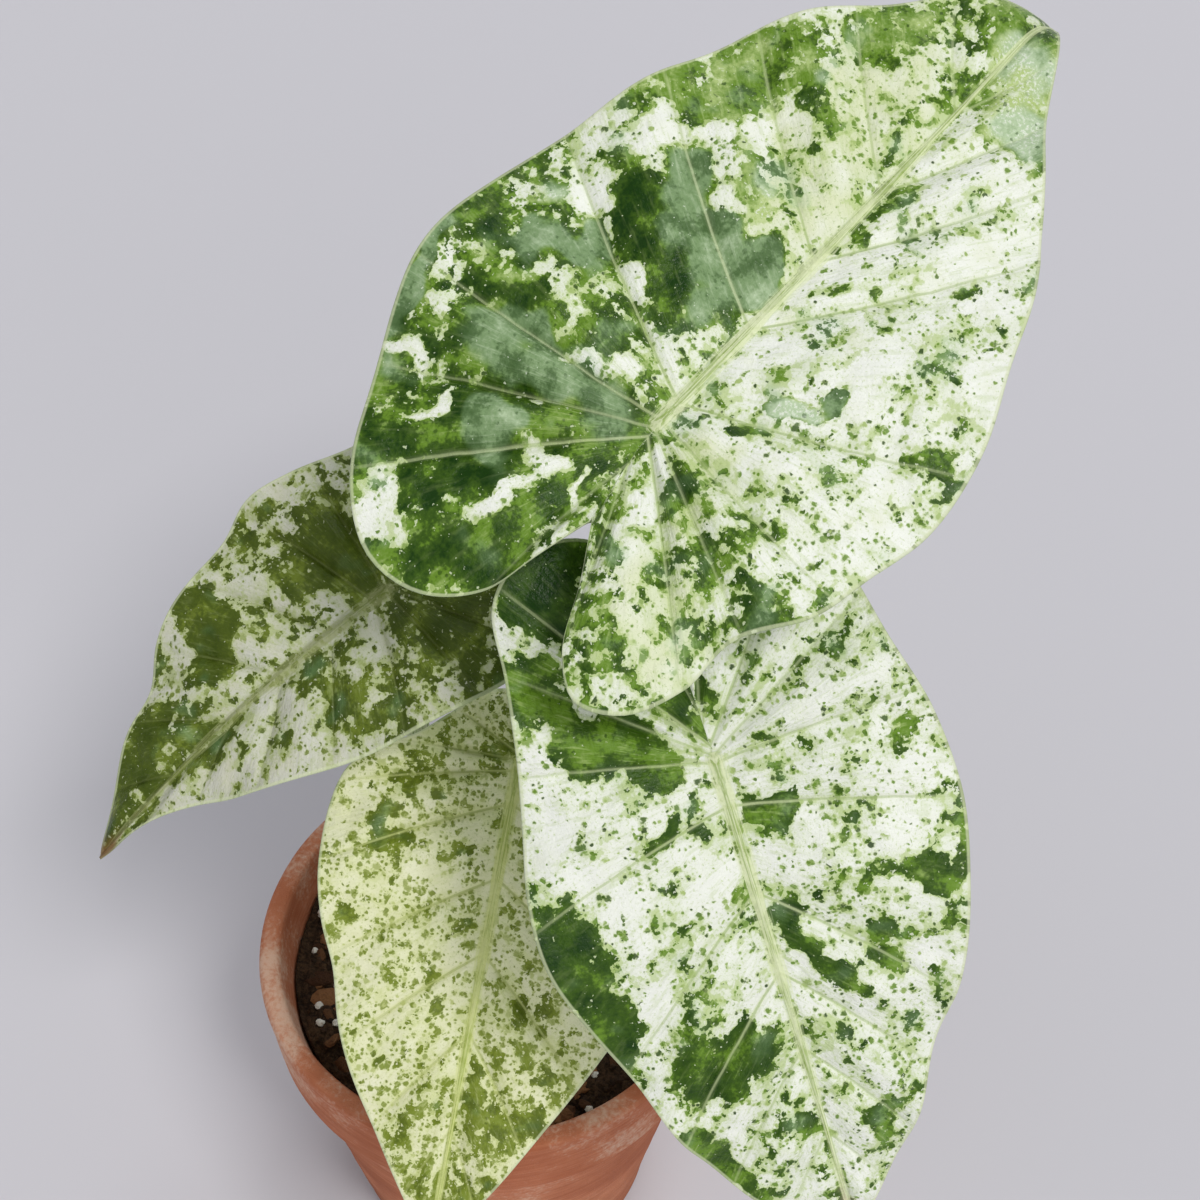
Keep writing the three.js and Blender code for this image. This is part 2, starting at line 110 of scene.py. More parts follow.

# The four leaves, as in the part's source: where the stalk joins, the notch and the tip, the two margins, and
# where the lateral veins start and end. In a blade's own plan x runs to its right and y from the stalk to the
# tip. Then come the markings: leftGreen and rightGreen say how green each interval between two lateral veins
# is, from -0.5 for white to 0.6 for solid green. A patch is an ellipse of one look, (x, y, half length, half
# width, turn), and a wash is such an ellipse where the ground is cream. Margins and patches were picked
# on the photograph, carried over to the blade's plan with a model of its camera, and then partly adjusted.
LEAVES = {
    "top": {
        "joint": (36, -11.5, 287),
        "notch": (4, -21), "tip": (-3, 119),
        "left": [(1, -31), (-3, -42), (-12, -49.5), (-23, -50.5), (-33, -44), (-42, -30), (-50, -15),
            (-54.5, 0), (-54, 16), (-50, 36), (-45, 55), (-39.5, 72.5), (-30, 87), (-20, 101), (-9, 112)],
        "right": [(9.5, -30), (15.5, -41), (23, -46), (31, -42), (35.5, -32), (36, -21), (43.5, -9.5),
            (46, 4), (48.5, 18), (46, 34), (39, 50), (33, 64.5), (25, 77), (14.5, 90), (5.5, 105)],
        "origins": [-9, -2.5, -0.5, 1.5, 6, 25, 43, 62, 84],
        "leftEnds": [0.085, 0.25, 0.335, 0.42, 0.575, 0.665, 0.75, 0.83, 0.91],
        "rightEnds": [0.09, 0.235, 0.3, 0.38, 0.53, 0.735, 0.8, 0.865, 0.93],
        "leftGreen": [0.12, 0.2, 0.25, 0.2, 0.1, -0.14, -0.2, -0.24, -0.2, 0],
        "rightGreen": [0.06, 0, -0.05, -0.12, -0.22, -0.26, -0.3, -0.3, -0.15, 0.1],
        "patches": {
            "green": [(-51.5, 9, 7.5, 4.5, 71), (-34.5, -35, 6.5, 4.5, 115), (39.5, -15.5, 7, 2.5, 29),
                (25.5, -4, 3, 2, 165), (-1.5, -13, 6.5, 2, 80), (-8, -37.5, 12, 5, 40)],
            "vivid": [(9, 100, 12, 1.2, 126)],
            "fresh": [(-37, 60, 22, 9, 68), (-21, 89, 9, 7, 61), (-6, 104, 8, 5, 120)],
            # Dark patches: the one at (-21, -36) in the lobe is painted shadow; the round one at (-22, -23.5)
            # is a dome's dark green, partly painted shade round its grey middle.
            "dark": [(-24.5, 25, 16, 4.5, 150), (-22, -23.5, 9.5, 9, 2), (-36, 0, 9, 4, 9),
                (-21, -36, 4.5, 2, 9)],
            # Grey patches: glaucous tint and partly painted sheen; the one at (-36.5, 12.5) and the dome's
            # middle at (-21, -21.5) are partly painted highlights.
            "grey": [(-17.5, 31, 19, 7, 149), (-51.5, -6.5, 13, 2.5, 106), (-22, -5.5, 16, 6.5, 8),
                (-36.5, 12.5, 8, 3.5, 38), (-32, 19.5, 5.5, 2.5, 155), (-6.5, 35, 8, 3.5, 124),
                (-21, -21.5, 6.5, 5, 20), (21, 22.5, 3.5, 2.5, 35)],
            "half": [(-21, 66, 8.5, 3, 138), (-24, 3, 6.5, 2.5, 27), (40.5, 26.5, 5.5, 3, 56),
                (12, 7.5, 3, 1.5, 19), (15, -36, 10, 2.5, 127), (-0.5, -8, 6, 2, 84),
                (-2.5, 88.5, 5, 2.5, 85)],
            "mottled": [(-27.5, 7.5, 8, 4, 158), (-7.5, 3, 3.5, 2, 174), (-44, -9.5, 8, 4.5, 119),
                (31, -12.5, 10, 5.5, 174), (27.5, -3.5, 4, 2.5, 11), (12.5, -5.5, 4.5, 2.5, 158),
                (18, -31.5, 6.5, 1, 111), (1.5, 55.5, 15, 2, 84), (8, 41, 7, 1.5, 52),
                (23.5, 57.5, 4, 1.5, 60), (19, -35.5, 9, 4, 145)],
            "mint": [(6.5, 94, 15, 7, 134), (16.5, 17, 4, 2, 42)],
            "pale": [(-46.5, 16.5, 5.5, 2.5, 66), (-35.5, 3.5, 5.5, 2, 31), (-17.5, 46, 9, 4, 157)],
            "white": [(-41, 40.5, 11, 4.5, 50), (-39.5, 23, 5.5, 3, 27), (-21.5, 16.5, 5, 1.5, 150),
                (-14.5, 1, 6, 3, 20), (-11, -17, 5.5, 2, 8), (-11.5, -31, 8, 2, 72),
                (-42.5, -20.5, 4.5, 2, 10), (-31.5, -24, 5.5, 1.5, 85), (-26, -43.5, 7.5, 5.5, 148),
                (-2.5, -18.5, 5.5, 1, 93), (6, -9, 8, 2, 122), (28.5, -32, 8, 3.5, 150),
                (14, -21, 11, 1.5, 127)],
        },
        "washes": [(-12, 66, 34, 12, 100), (14, -4, 10, 6, 120), (25, -28, 16, 9, 125)],
    },
    "left": {
        "joint": (-16.5, 3, 225),
        "notch": (0, -14), "tip": (-3.5, 82.5),
        "left": [(-6, -24), (-14, -31), (-22, -30), (-28, -22), (-30.5, -10), (-29.8, 2), (-27.6, 13),
            (-24.5, 25), (-20, 38), (-14.5, 49.5), (-9.5, 58), (-6, 67.5), (-4.2, 75)],
        "right": [(6, -24), (14, -31), (22, -30), (27.5, -21), (29.5, -9), (31.3, 3.4), (32.8, 14),
            (29.4, 22.5), (26.3, 33), (21.5, 46), (15, 53), (11.4, 61), (5.5, 70.5), (0.5, 77.5)],
        "origins": [-6, -1.5, -0.3, 1, 4, 15, 28, 42, 58],
        "leftEnds": [0.085, 0.2, 0.3, 0.4, 0.51, 0.62, 0.73, 0.83, 0.915],
        "rightEnds": [0.085, 0.2, 0.3, 0.4, 0.51, 0.62, 0.72, 0.82, 0.91],
        "leftGreen": [0.2, 0.15, 0.12, 0.08, 0.04, -0.1, -0.17, -0.2, -0.2, 0],
        "rightGreen": [0.03, 0.03, -0.05, -0.06, -0.07, -0.1, -0.1, -0.1, -0.05, 0.1],
        "patches": {
            "green": [(11.5, 5.5, 11, 9.5, 60), (17, 35, 10.5, 5.5, 176), (-15.5, -5.5, 10, 6.5, 42),
                (5, 63.5, 13, 4, 122)],
            "half": [(-2, 51, 8.5, 4, 89), (-15.5, 18, 10, 3.5, 43), (29.5, 16, 6.5, 3, 96)],
            "white": [(31, 9.5, 7, 2, 83)],
        },
    },
    "low": {
        "joint": (9, -10, 184),
        "notch": (0, -8), "tip": (0, 107),
        "left": [(-3, -12), (-8, -13), (-15, -9), (-22.5, -2), (-30, 4), (-35.5, 12.5), (-36.5, 22),
            (-36, 33), (-33.5, 45), (-28, 57.5), (-22.5, 69), (-16.5, 80), (-9, 93)],
        "right": [(3, -14), (8.5, -13.5), (15.6, -7.5), (22, -2), (28.5, 1.8), (34.3, 7), (36.9, 15),
            (36.8, 28), (34, 40), (30.3, 49), (27, 60), (21.5, 72), (14.5, 83.5), (7, 95)],
        "origins": [-4, -1.5, -0.3, 2, 9, 25, 41, 58, 79],
        "leftEnds": [0.06, 0.13, 0.22, 0.32, 0.43, 0.56, 0.68, 0.8, 0.905],
        "rightEnds": [0.06, 0.13, 0.22, 0.32, 0.43, 0.56, 0.68, 0.8, 0.905],
        "leftGreen": [-0.05, -0.05, -0.15, -0.2, -0.2, -0.18, -0.16, -0.15, -0.1, 0],
        "rightGreen": [-0.05, -0.05, -0.1, -0.17, -0.22, -0.2, -0.2, -0.18, -0.15, 0],
        "patches": {
            "half": [(7, 55, 3.5, 2, 31), (-11, 75.5, 9.5, 7, 40)],
            "mottled": [(21.5, 20, 6.5, 5.5, 174), (28.5, 36.5, 3, 2.5, 148), (-12, 53, 7.5, 5, 158),
                (23, 6, 8.5, 4.5, 30), (-19, 44, 6, 2, 131)],
        },
    },
    "front": {
        "joint": (47, -48, 237),
        "notch": (0.7, -21), "tip": (0, 106),
        "left": [(-3, -32), (-9, -43), (-18, -46.5), (-27, -40.5), (-33, -27), (-36.4, -12.4), (-40.6, 3),
            (-41.8, 19), (-38.5, 35.5), (-32.5, 54), (-24, 69), (-16.5, 84), (-7.5, 97)],
        "right": [(4, -32), (8, -43), (16, -46.5), (25, -44.5), (30.5, -38), (32, -25), (34, -12),
            (37.2, 2), (40.3, 15), (40.8, 28), (37, 43), (31.5, 58.5), (26.5, 73), (20, 86), (10, 98)],
        "origins": [-9, -2.5, -0.5, 1, 9.5, 27, 44, 61, 81],
        "leftEnds": [0.085, 0.22, 0.32, 0.42, 0.53, 0.72, 0.8, 0.87, 0.935],
        "rightEnds": [0.085, 0.22, 0.3, 0.39, 0.53, 0.7, 0.79, 0.86, 0.93],
        "leftGreen": [-0.3, -0.26, -0.23, -0.22, -0.22, -0.22, -0.22, -0.22, -0.2, -0.2],
        "rightGreen": [0.2, 0.3, -0.2, -0.3, -0.3, -0.25, -0.18, -0.14, -0.14, -0.14],
        "patches": {
            "green": [(30.5, -23.5, 7, 4, 109), (35.5, 36, 21.5, 6.5, 97), (14, 10, 6, 2, 21),
                (16, 59, 9, 8.5, 108), (-8.5, 43.5, 11, 3, 110), (-34, 32, 5, 3, 157)],
            "vivid": [(18, -9.5, 15, 6.5, 143), (13.5, -3, 7, 3, 151), (26.5, -20.5, 9, 4.5, 126),
                (-6, 11, 6, 2.5, 137), (23, 77.5, 11, 3.5, 124)],
            "dark": [(22, -38, 10.5, 7.5, 83), (37.5, 25, 8.5, 4.5, 106)],
            "half": [(-20.5, 44.5, 6, 2.5, 105), (-34, 4.5, 5, 4, 64), (-38.5, 28.5, 10, 1.5, 79),
                (4, 78.5, 4, 1.5, 119)],
            "mottled": [(5.5, 13, 4.5, 1, 87), (2.5, 23, 5, 1, 87), (-19.5, 28.5, 6.5, 3, 170),
                (-11, 81.5, 8, 4, 51), (-0.5, -13.5, 6.5, 1.5, 83)],
        },
    },
}

# The numbers of the top, left, low and front leaf: how each blade stands, bends, waves and is quilted, and
# its stalk, all as in the part's source, and how grey, light and cream the whole blade is.
LEAF_NUMBERS = {
    "heading": (44.7, -150.9, -102.9, -65.1), "rise": (17, -22.2, -35.2, -45.6),
    "roll": (-15.8, 16.2, 8.2, -15.9), "fold": (0.1, 0.22, 0.26, 0.2),
    "sag": (0.0013, 0.003, 0.003, 0.0028), "notchLift": (3, 2, 1, 3), "puff": (1.8, 1.2, 1.4, 1.8),
    "tipDroop": (0.0004, 0.0028, 0.0012, 0.0024), "lobeDroop": (0.003, 0.0025, 0.002, 0.0022),
    "curlStart": (104, 90, 90, 90), "curl": (0.06, 0, 0, 0), "wave": (2.4, 1.8, 1.8, 2.4),
    "leftWaves": (5.5, 4.5, 5, 5), "rightWaves": (5, 5, 5.5, 6), "leftPhase": (0.4, 1.5, 0.2, 2.6),
    "rightPhase": (3.4, 0.6, 2.2, 0.9),
    "leftQuilt": ([1, 1.5, 2.6, 2.8, 3.4, 2.2, 0.9, 0.7, 0.5, 0.3], 1.3, 1.7, 0.9),
    "rightQuilt": ([1, 1.8, 1.7, 1.4, 1.2, 1.1, 1, 0.9, 0.7, 0.4], 1.5, 1.7, 1.2),
    "socketAngle": (100, 185, 265, 15), "leanAngle": (80, 170, 250, 12), "lean": (9, 14, 5, 20),
    "stalkRadius": ((3.8, 2.5), (3.4, 2.1), (3.4, 2.1), (3.6, 2.4)),
    "stalkReach": ((0.42, 0.3), (0.45, 0.25), (0.45, 0.25), (0.5, 0.32)), "grey": (0.2, 0.05, 0, 0.1),
    "light": (0.38, 0.3, 0.45, 0.3), "cream": (0.15, 0.35, 0.75, 0.1),
}
for key, values in LEAF_NUMBERS.items():
    for leaf, value in zip(LEAVES.values(), values):
        leaf[key] = value


def linear(red, green, blue):
    """A colour given as 0 to 255, in the shader's linear values."""
    def channel(value):
        share = value / 255
        return share / 12.92 if share <= 0.04045 else ((share + 0.055) / 1.055) ** 2.4
    return (channel(red), channel(green), channel(blue), 1)


def smooth(low, high, value):
    """0 below low, 1 above high, and an even curve between."""
    share = np.clip((value - low) / (high - low), 0, 1)
    return share * share * (3 - 2 * share)


def bell(value):
    """1 at zero, falling evenly to 0 on both sides."""
    return np.exp(-(value**2))


def unit(vectors):
    """The same vectors, each with a length of 1."""
    return vectors / np.maximum(np.linalg.norm(vectors, axis=-1, keepdims=True), 1e-9)


def about_axis(angle, radius=1, height=0):
    """Points about the pot's axis."""
    return np.stack(np.broadcast_arrays(radius * np.cos(angle), radius * np.sin(angle), height), -1)


def arc(start, corner, end, t):
    """Points on a curve from start to end that leaves and arrives in the direction of the corner."""
    return (1 - t) ** 2 * start + 2 * t * (1 - t) * corner + t**2 * end


def lengths_along(path):
    """How far each point of a line lies from its first, measured along the line."""
    return np.concatenate([[0], np.cumsum(np.linalg.norm(np.diff(path, axis=0), axis=1))])


def waves(table, x, y):
    """The sum of waves over the plan, each (size, turn per mm along x, turn per mm along y, start)."""
    return sum(size * np.sin(along_x * x + along_y * y + start) for size, along_x, along_y, start in table)


def rough(points, scale, octaves=4, seed=0.0):
    """Even noise about zero at every point."""
    flat = points.reshape(-1, 3) * scale + seed
    values = [noise.fractal(Vector(point), 0.8, 2.0, octaves) for point in flat]
    return np.array(values).reshape(points.shape[:-1])


# How far Blender's noise usually is from its middle value.
NOISE_SPREAD = 0.13


class Shader:
    """A material and short calls for its nodes. Its colours are 0 to 255, as linear() takes them."""

    def __init__(self, name):
        self.material = bpy.data.materials.new(name)
        self.material.use_nodes = True
        self.tree = self.material.node_tree
        self.surface = self.tree.nodes["Principled BSDF"]

    def put(self, socket, value):
        if isinstance(value, bpy.types.NodeSocket):
            self.tree.links.new(value, socket)
        else:
            socket.default_value = linear(*value) if socket.type == "RGBA" else value

    def node(self, kind, *values, sockets=None, **settings):
        """A node with its settings, its first sockets in order, and others by name or number."""
        node = self.tree.nodes.new("ShaderNode" + kind)
        for key, setting in settings.items():
            setattr(node, key, setting)
        for key, value in [*enumerate(values), *(sockets or {}).items()]:
            self.put(node.inputs[key], value)
        return node

    def attribute(self, name):
        """The three numbers that each point of the mesh has under this name."""
        return self.node("Attribute", attribute_name=name).outputs["Vector"]

    def parts(self, name):
        return self.split(self.attribute(name))

    def place(self):
        """The place on the plant in millimetres."""
        return self.vector("MULTIPLY", self.node("TexCoord").outputs["Object"], (1000, 1000, 1000))

    def split(self, vector):
        return self.node("SeparateXYZ", vector).outputs

    def join(self, x, y, z=0.0):
        return self.node("CombineXYZ", x, y, z).outputs[0]

    def math(self, operation, a, b=0.0, c=0.0):
        return self.node("Math", a, b, c, operation=operation).outputs[0]

    def times(self, a, b):
        return self.math("MULTIPLY", a, b)

    def plus(self, a, b):
        return self.math("ADD", a, b)

    def scaled(self, value, factor, rest):
        """The value times the factor, plus the rest."""
        return self.math("MULTIPLY_ADD", value, factor, rest)

    def vector(self, operation, a, b):
        return self.node("VectorMath", a, b, operation=operation).outputs[0]

    def noise(self, where, scale, detail=2.0, roughness=0.5, flat=False):
        sockets = {"Vector": where, "Scale": scale, "Detail": detail, "Roughness": roughness}
        return self.node("TexNoise", sockets=sockets, noise_dimensions="2D" if flat else "3D").outputs[0]

    def signed(self, where, scale, detail=2.0, roughness=0.5, flat=False, size=1.0):
        """Noise about zero, whose usual distance from zero is `size`."""
        value = self.noise(where, scale, detail, roughness, flat)
        return self.times(self.math("SUBTRACT", value, 0.5), size / NOISE_SPREAD)

    def step(self, value, low, high, start=0.0, end=1.0):
        """Start below low, end above high, and an even curve between."""
        return self.node("MapRange", value, low, high, start, end, interpolation_type="SMOOTHSTEP").outputs[0]

    def mix(self, share, first, second):
        return self.node("Mix", sockets={0: share, 6: first, 7: second}, data_type="RGBA").outputs[2]

    def over(self, below, above, value, low, high, start=0.0, end=1.0):
        """One colour laid over another by the step of a value."""
        return self.mix(self.step(value, low, high, start, end), below, above)

    def finish(self, colour, roughness, specular=0.5, relief=None):
        """Puts the look on the surface. A relief is (height, strength, depth in metres)."""
        looks = {"Base Color": colour, "Roughness": roughness, "Specular IOR Level": specular}
        if relief:
            height, strength, depth = relief
            sockets = {"Strength": strength, "Distance": depth, "Height": height}
            looks["Normal"] = self.node("Bump", sockets=sockets).outputs[0]
        for key, value in looks.items():
            self.put(self.surface.inputs[key], value)
        return self


def placed(name, data):
    """A new object in the scene."""
    made = bpy.data.objects.new(name, data)
    bpy.context.collection.objects.link(made)
    return made


def mesh_object(name, points, faces):
    """A new object from points in millimetres and faces."""
    mesh = bpy.data.meshes.new(name)
    mesh.from_pydata([tuple(p) for p in np.asarray(points) * MM], [], faces)
    return placed(name, mesh)


def piece(name, points, faces, shader, smooth_shading=True):
    """A finished mesh on the part's one body."""
    made = mesh_object(name, points, faces)
    made.data.update()
    made.data.polygons.foreach_set("use_smooth", [smooth_shading] * len(made.data.polygons))
    made.data.materials.append(shader.material)
    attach(made, "root")
    return made


def mark(made, name, values):
    """Three numbers for each point of a mesh, for its material to read."""
    layer = made.data.attributes.new(name, "FLOAT_VECTOR", "POINT")
    layer.data.foreach_set("vector", np.asarray(values, float).ravel())


def woven(index, closed=True):
    """Faces between neighbours in a grid of point numbers, closed round its rows, less doubled corners."""
    if closed:
        index = np.hstack([index, index[:, :1]])
    faces = []
    for upper, lower in zip(index[:-1].tolist(), index[1:].tolist()):
        for corners in zip(upper, upper[1:], lower[1:], lower):
            kept = [p for k, p in enumerate(corners) if p != corners[k - 1]]
            if len(set(kept)) > 2:
                faces.append(kept)
    return faces


def centripetal(points, samples=40):
    """A centripetal Catmull-Rom curve through points in the plane, as many close points."""
    p = np.array(points, float)
    p = np.vstack([2 * p[0] - p[1], p, 2 * p[-1] - p[-2]])
    runs = []
    for i in range(1, len(p) - 2):
        knots = [0.0]
        for k in range(3):
            knots.append(knots[-1] + np.linalg.norm(p[i + k] - p[i + k - 1]) ** 0.5)
        u = np.linspace(knots[1], knots[2], samples, endpoint=False)[:, None]

        def blend(a, b, start, end):
            return ((end - u) * a + (u - start) * b) / (end - start)

        first = [blend(p[i + k - 1], p[i + k], knots[k], knots[k + 1]) for k in range(3)]
        second = [blend(first[k], first[k + 1], knots[k], knots[k + 2]) for k in range(2)]
        runs.append(blend(second[0], second[1], knots[1], knots[2]))
    return np.vstack(runs + [p[-2:-1]])


class Half:
    """One side of a blade in plan, by vein count (0 at the notch, 10 at the tip) and share outwards."""

    def __init__(self, leaf, side):
        self.leaf = leaf
        self.side = side
        self.hand = -1 if side == "left" else 1
        self.curve = centripetal([leaf["notch"], *leaf[side], leaf["tip"]])
        self.reached = lengths_along(self.curve)
        self.reached /= self.reached[-1]

    def margin(self, vein):
        share = np.interp(vein, range(VEIN_INTERVALS + 1), [0, *self.leaf[self.side + "Ends"], 1])
        return np.stack([np.interp(share, self.reached, self.curve[:, k]) for k in (0, 1)], -1)

    def spine(self, vein):
        leaf = self.leaf
        y = np.interp(vein, range(VEIN_INTERVALS + 1), [leaf["notch"][1], *leaf["origins"], leaf["tip"][1]])
        return np.stack([spine_x(leaf, y), y], -1)

    def plan(self, vein, out):
        start = self.spine(vein)
        end = self.margin(vein)
        chord = end - start
        bow = (VEIN_BOW * np.clip((vein - STRAIGHT_VEIN) / 2, -1, 1) * self.hand)[..., None]
        middle = (start + end) / 2 + bow * np.stack([chord[..., 1], -chord[..., 0]], -1)
        return arc(start, middle, end, out[..., None])


def spine_x(leaf, y):
    """The place across of the line from the notch through the stalk to the tip."""
    back = leaf["notch"][0] * np.clip(y / leaf["notch"][1], 0, 1) ** 1.5
    ahead = leaf["tip"][0] * np.clip(y / leaf["tip"][1], 0, 1) ** 2
    return np.where(y < 0, back, ahead)


def upper_face(leaf, side, x, y, vein, out):
    """The height of the upper face over the plan, as in the part's source."""
    droop = np.where(y > 0, leaf["tipDroop"], leaf["lobeDroop"]) * y**2
    curl = leaf["curl"] * np.maximum(y - leaf["curlStart"], 0) ** 2
    fold = leaf["fold"] * (np.hypot(x, CHANNEL_HALF_WIDTH) - CHANNEL_HALF_WIDTH) - leaf["sag"] * x**2
    lift = leaf["notchLift"] * out * np.maximum(1 - vein / 2, 0) ** 2
    puff = leaf["puff"] * np.sin(np.pi * vein) ** 2 * np.sin(np.pi * out)
    turns = leaf[side + "Waves"] * vein / VEIN_INTERVALS
    ends = np.clip(np.sin(np.pi * vein / VEIN_INTERVALS), 0, 1) ** 0.5
    wave = leaf["wave"] * ends * out**3 * np.sin(2 * np.pi * turns + leaf[side + "Phase"])
    return fold - droop - curl + lift + puff + wave


def vein_distances(half, vein, out):
    """How far each point lies from its nearest lateral vein and from the line half way between two, and how
    far apart two laterals are there."""
    small = 1e-3
    before, after = np.maximum(vein - small, 0), np.minimum(vein + small, VEIN_INTERVALS)
    along = half.plan(after, out) - half.plan(before, out)
    outward = half.plan(vein, np.minimum(out + small, 1)) - half.plan(vein, np.maximum(out - small, 0))
    length = np.maximum(np.linalg.norm(outward, axis=-1), 1e-9)
    across = np.abs(along[..., 0] * outward[..., 1] - along[..., 1] * outward[..., 0]) / length / (2 * small)
    nearest = np.clip(np.round(vein), 1, VEIN_INTERVALS - 1)
    halfway = np.floor(vein) + 0.5
    return nearest.astype(int), np.abs(vein - nearest) * across, np.abs(vein - halfway) * across, across


def inside(place, x, y):
    """1 in the middle of a patch, 0 outside it."""
    centre_x, centre_y, long, wide, turn = place
    cos, sin = math.cos(math.radians(turn)), math.sin(math.radians(turn))
    u = ((x - centre_x) * cos + (y - centre_y) * sin) / long
    v = ((y - centre_y) * cos - (x - centre_x) * sin) / wide
    return 1 - smooth(*PATCH_EDGE, np.hypot(u, v))


def markings(leaf, side, x, y, vein):
    """How green each point of the blade is, how grey its green, how light its green, and its cream."""
    corners = np.arange(VEIN_INTERVALS)[:, None] + (0.1, 0.9)
    green = np.interp(vein, corners.ravel(), np.repeat(leaf[side + "Green"], 2))
    grey, light, cream = (np.full_like(x, leaf[key]) for key in ("grey", "light", "cream"))
    x, y = x + waves(PATCH_WAVES_X, x, y), y + waves(PATCH_WAVES_Y, x, y)
    for look, look_levels in LOOKS.items():
        for patch in leaf["patches"].get(look, []):
            share = inside(patch, x, y)
            for field, level in zip((green, grey, light), look_levels):
                field += (level - field) * share
    for wash in leaf.get("washes", []):
        cream += (WASH_CREAM - cream) * inside(wash, x, y)
    return green, grey, light, cream


def blade_half(leaf, side, veins, outs):
    """The points of one half blade, above and below, and what its material reads there, on a grid."""
    half = Half(leaf, side)
    vein, out = np.meshgrid(veins, outs, indexing="ij")
    plan = half.plan(vein, out)
    x, y = plan[..., 0], plan[..., 1]
    top = upper_face(leaf, side, x, y, vein, out)
    nearest, lateral, halfway, spacing = vein_distances(half, vein, out)
    fade = np.clip(1 - out, 0, 1) ** VEIN_FADE
    strength = np.array(VEIN_STRENGTH)[nearest] * fade

    from_spine = np.hypot(x - spine_x(leaf, y), np.minimum(y, 0))
    rib_width = MIDRIB_HALF_WIDTH * (1 - MIDRIB_TAPER * np.clip(y / leaf["tip"][1], 0, 1))
    away = smooth(*VEIN_START, from_spine)
    rib = bell(from_spine / rib_width)
    lateral_bell = strength * bell(lateral / GROOVE_WIDTH)
    groove = GROOVE_DEPTH * (lateral_bell + HALFWAY_VEIN * fade * bell(halfway / GROOVE_WIDTH))
    channel = MIDRIB_CHANNEL * bell(from_spine / (CHANNEL_WIDTH * rib_width))
    veined = (MIDRIB_CHANNEL + MIDRIB_RISE) * rib - channel - groove * away

    crease = np.abs(np.sin(np.pi * vein))
    arch = np.sin(np.pi * out)
    quilt = QUILT_RISE * (crease**0.7 - crease**2) * np.clip(arch, 0, 1) ** 0.8
    quilt += QUILT_SWELL * crease**2 * arch**2
    interval = np.minimum(vein, VEIN_INTERVALS - 1).astype(int)
    amount = np.broadcast_to(leaf[side + "Quilt"], VEIN_INTERVALS)[interval]
    quilt *= amount * smooth(1, 10, spacing)
    where = np.stack([x / RIPPLE_LENGTH + 9 * half.hand, y / RIPPLE_LENGTH, vein / 3], -1)
    ripple = RIPPLE * rough(where, 1.0, 2, leaf["tip"][1])
    ripple *= smooth(0, 0.15, out) * (1 - smooth(0.85, 1, out))
    swell = (quilt + ripple) * away

    length = np.where(y > 0, leaf["tip"][1], -1.5 * leaf["notch"][1])
    depth = BLADE_THICKNESS + MIDRIB_DEPTH * np.clip(1 - np.abs(y) / length, 0, 1) * rib
    depth += BOSS_DEPTH * np.clip(1 - np.hypot(x, y) / BOSS_REACH, 0, 1)
    depth += RIB_BELOW * lateral_bell * away
    bottom = top + np.minimum(veined, 0) + swell - depth

    edge = np.linalg.norm(plan - half.margin(vein), axis=-1)
    green, grey, light, cream = markings(leaf, side, x, y, vein)
    zero = np.zeros_like(x)
    from_rib = np.minimum(from_spine / rib_width, 6)
    from_lateral = np.minimum(lateral / LATERAL_HALF_WIDTH, 9)
    fields = {
        "plan": np.stack([x + PATTERN_SHIFT * half.hand, y, zero], -1),
        "flow": np.stack([vein, out, np.full_like(x, half.hand)], -1),
        "tint": np.stack([green, grey, light], -1),
        "veins": np.stack([from_rib, from_lateral, np.minimum(edge, 9)], -1),
        "ground": np.stack([cream, strength, zero], -1),
    }
    return np.stack([x, y, top + veined + swell], -1), np.stack([x, y, bottom], -1), fields


def blade_steps():
    """Vein counts from notch to tip, crowded at the veins, and shares from midrib to margin."""
    even = np.linspace(0, VEIN_INTERVALS, VEIN_INTERVALS * STEPS_PER_INTERVAL + 1)
    veins = even - STEP_CROWDING * np.sin(2 * np.pi * even) / (2 * np.pi)
    veins[0], veins[-1] = 0, VEIN_INTERVALS
    outs = [np.linspace(start, end, count, endpoint=False) for start, end, count in OUT_STEPS]
    return veins, np.concatenate([*outs, [1]])


def axes(leaf):
    """The blade's own axes in the pot's frame, as the columns of a matrix."""
    turn = Matrix.Rotation(math.radians(leaf["heading"] - 90), 3, "Z")
    pitch = Matrix.Rotation(math.radians(leaf["rise"]), 3, "X")
    roll = Matrix.Rotation(math.radians(-leaf["roll"]), 3, "Y")
    return np.array(turn @ pitch @ roll)


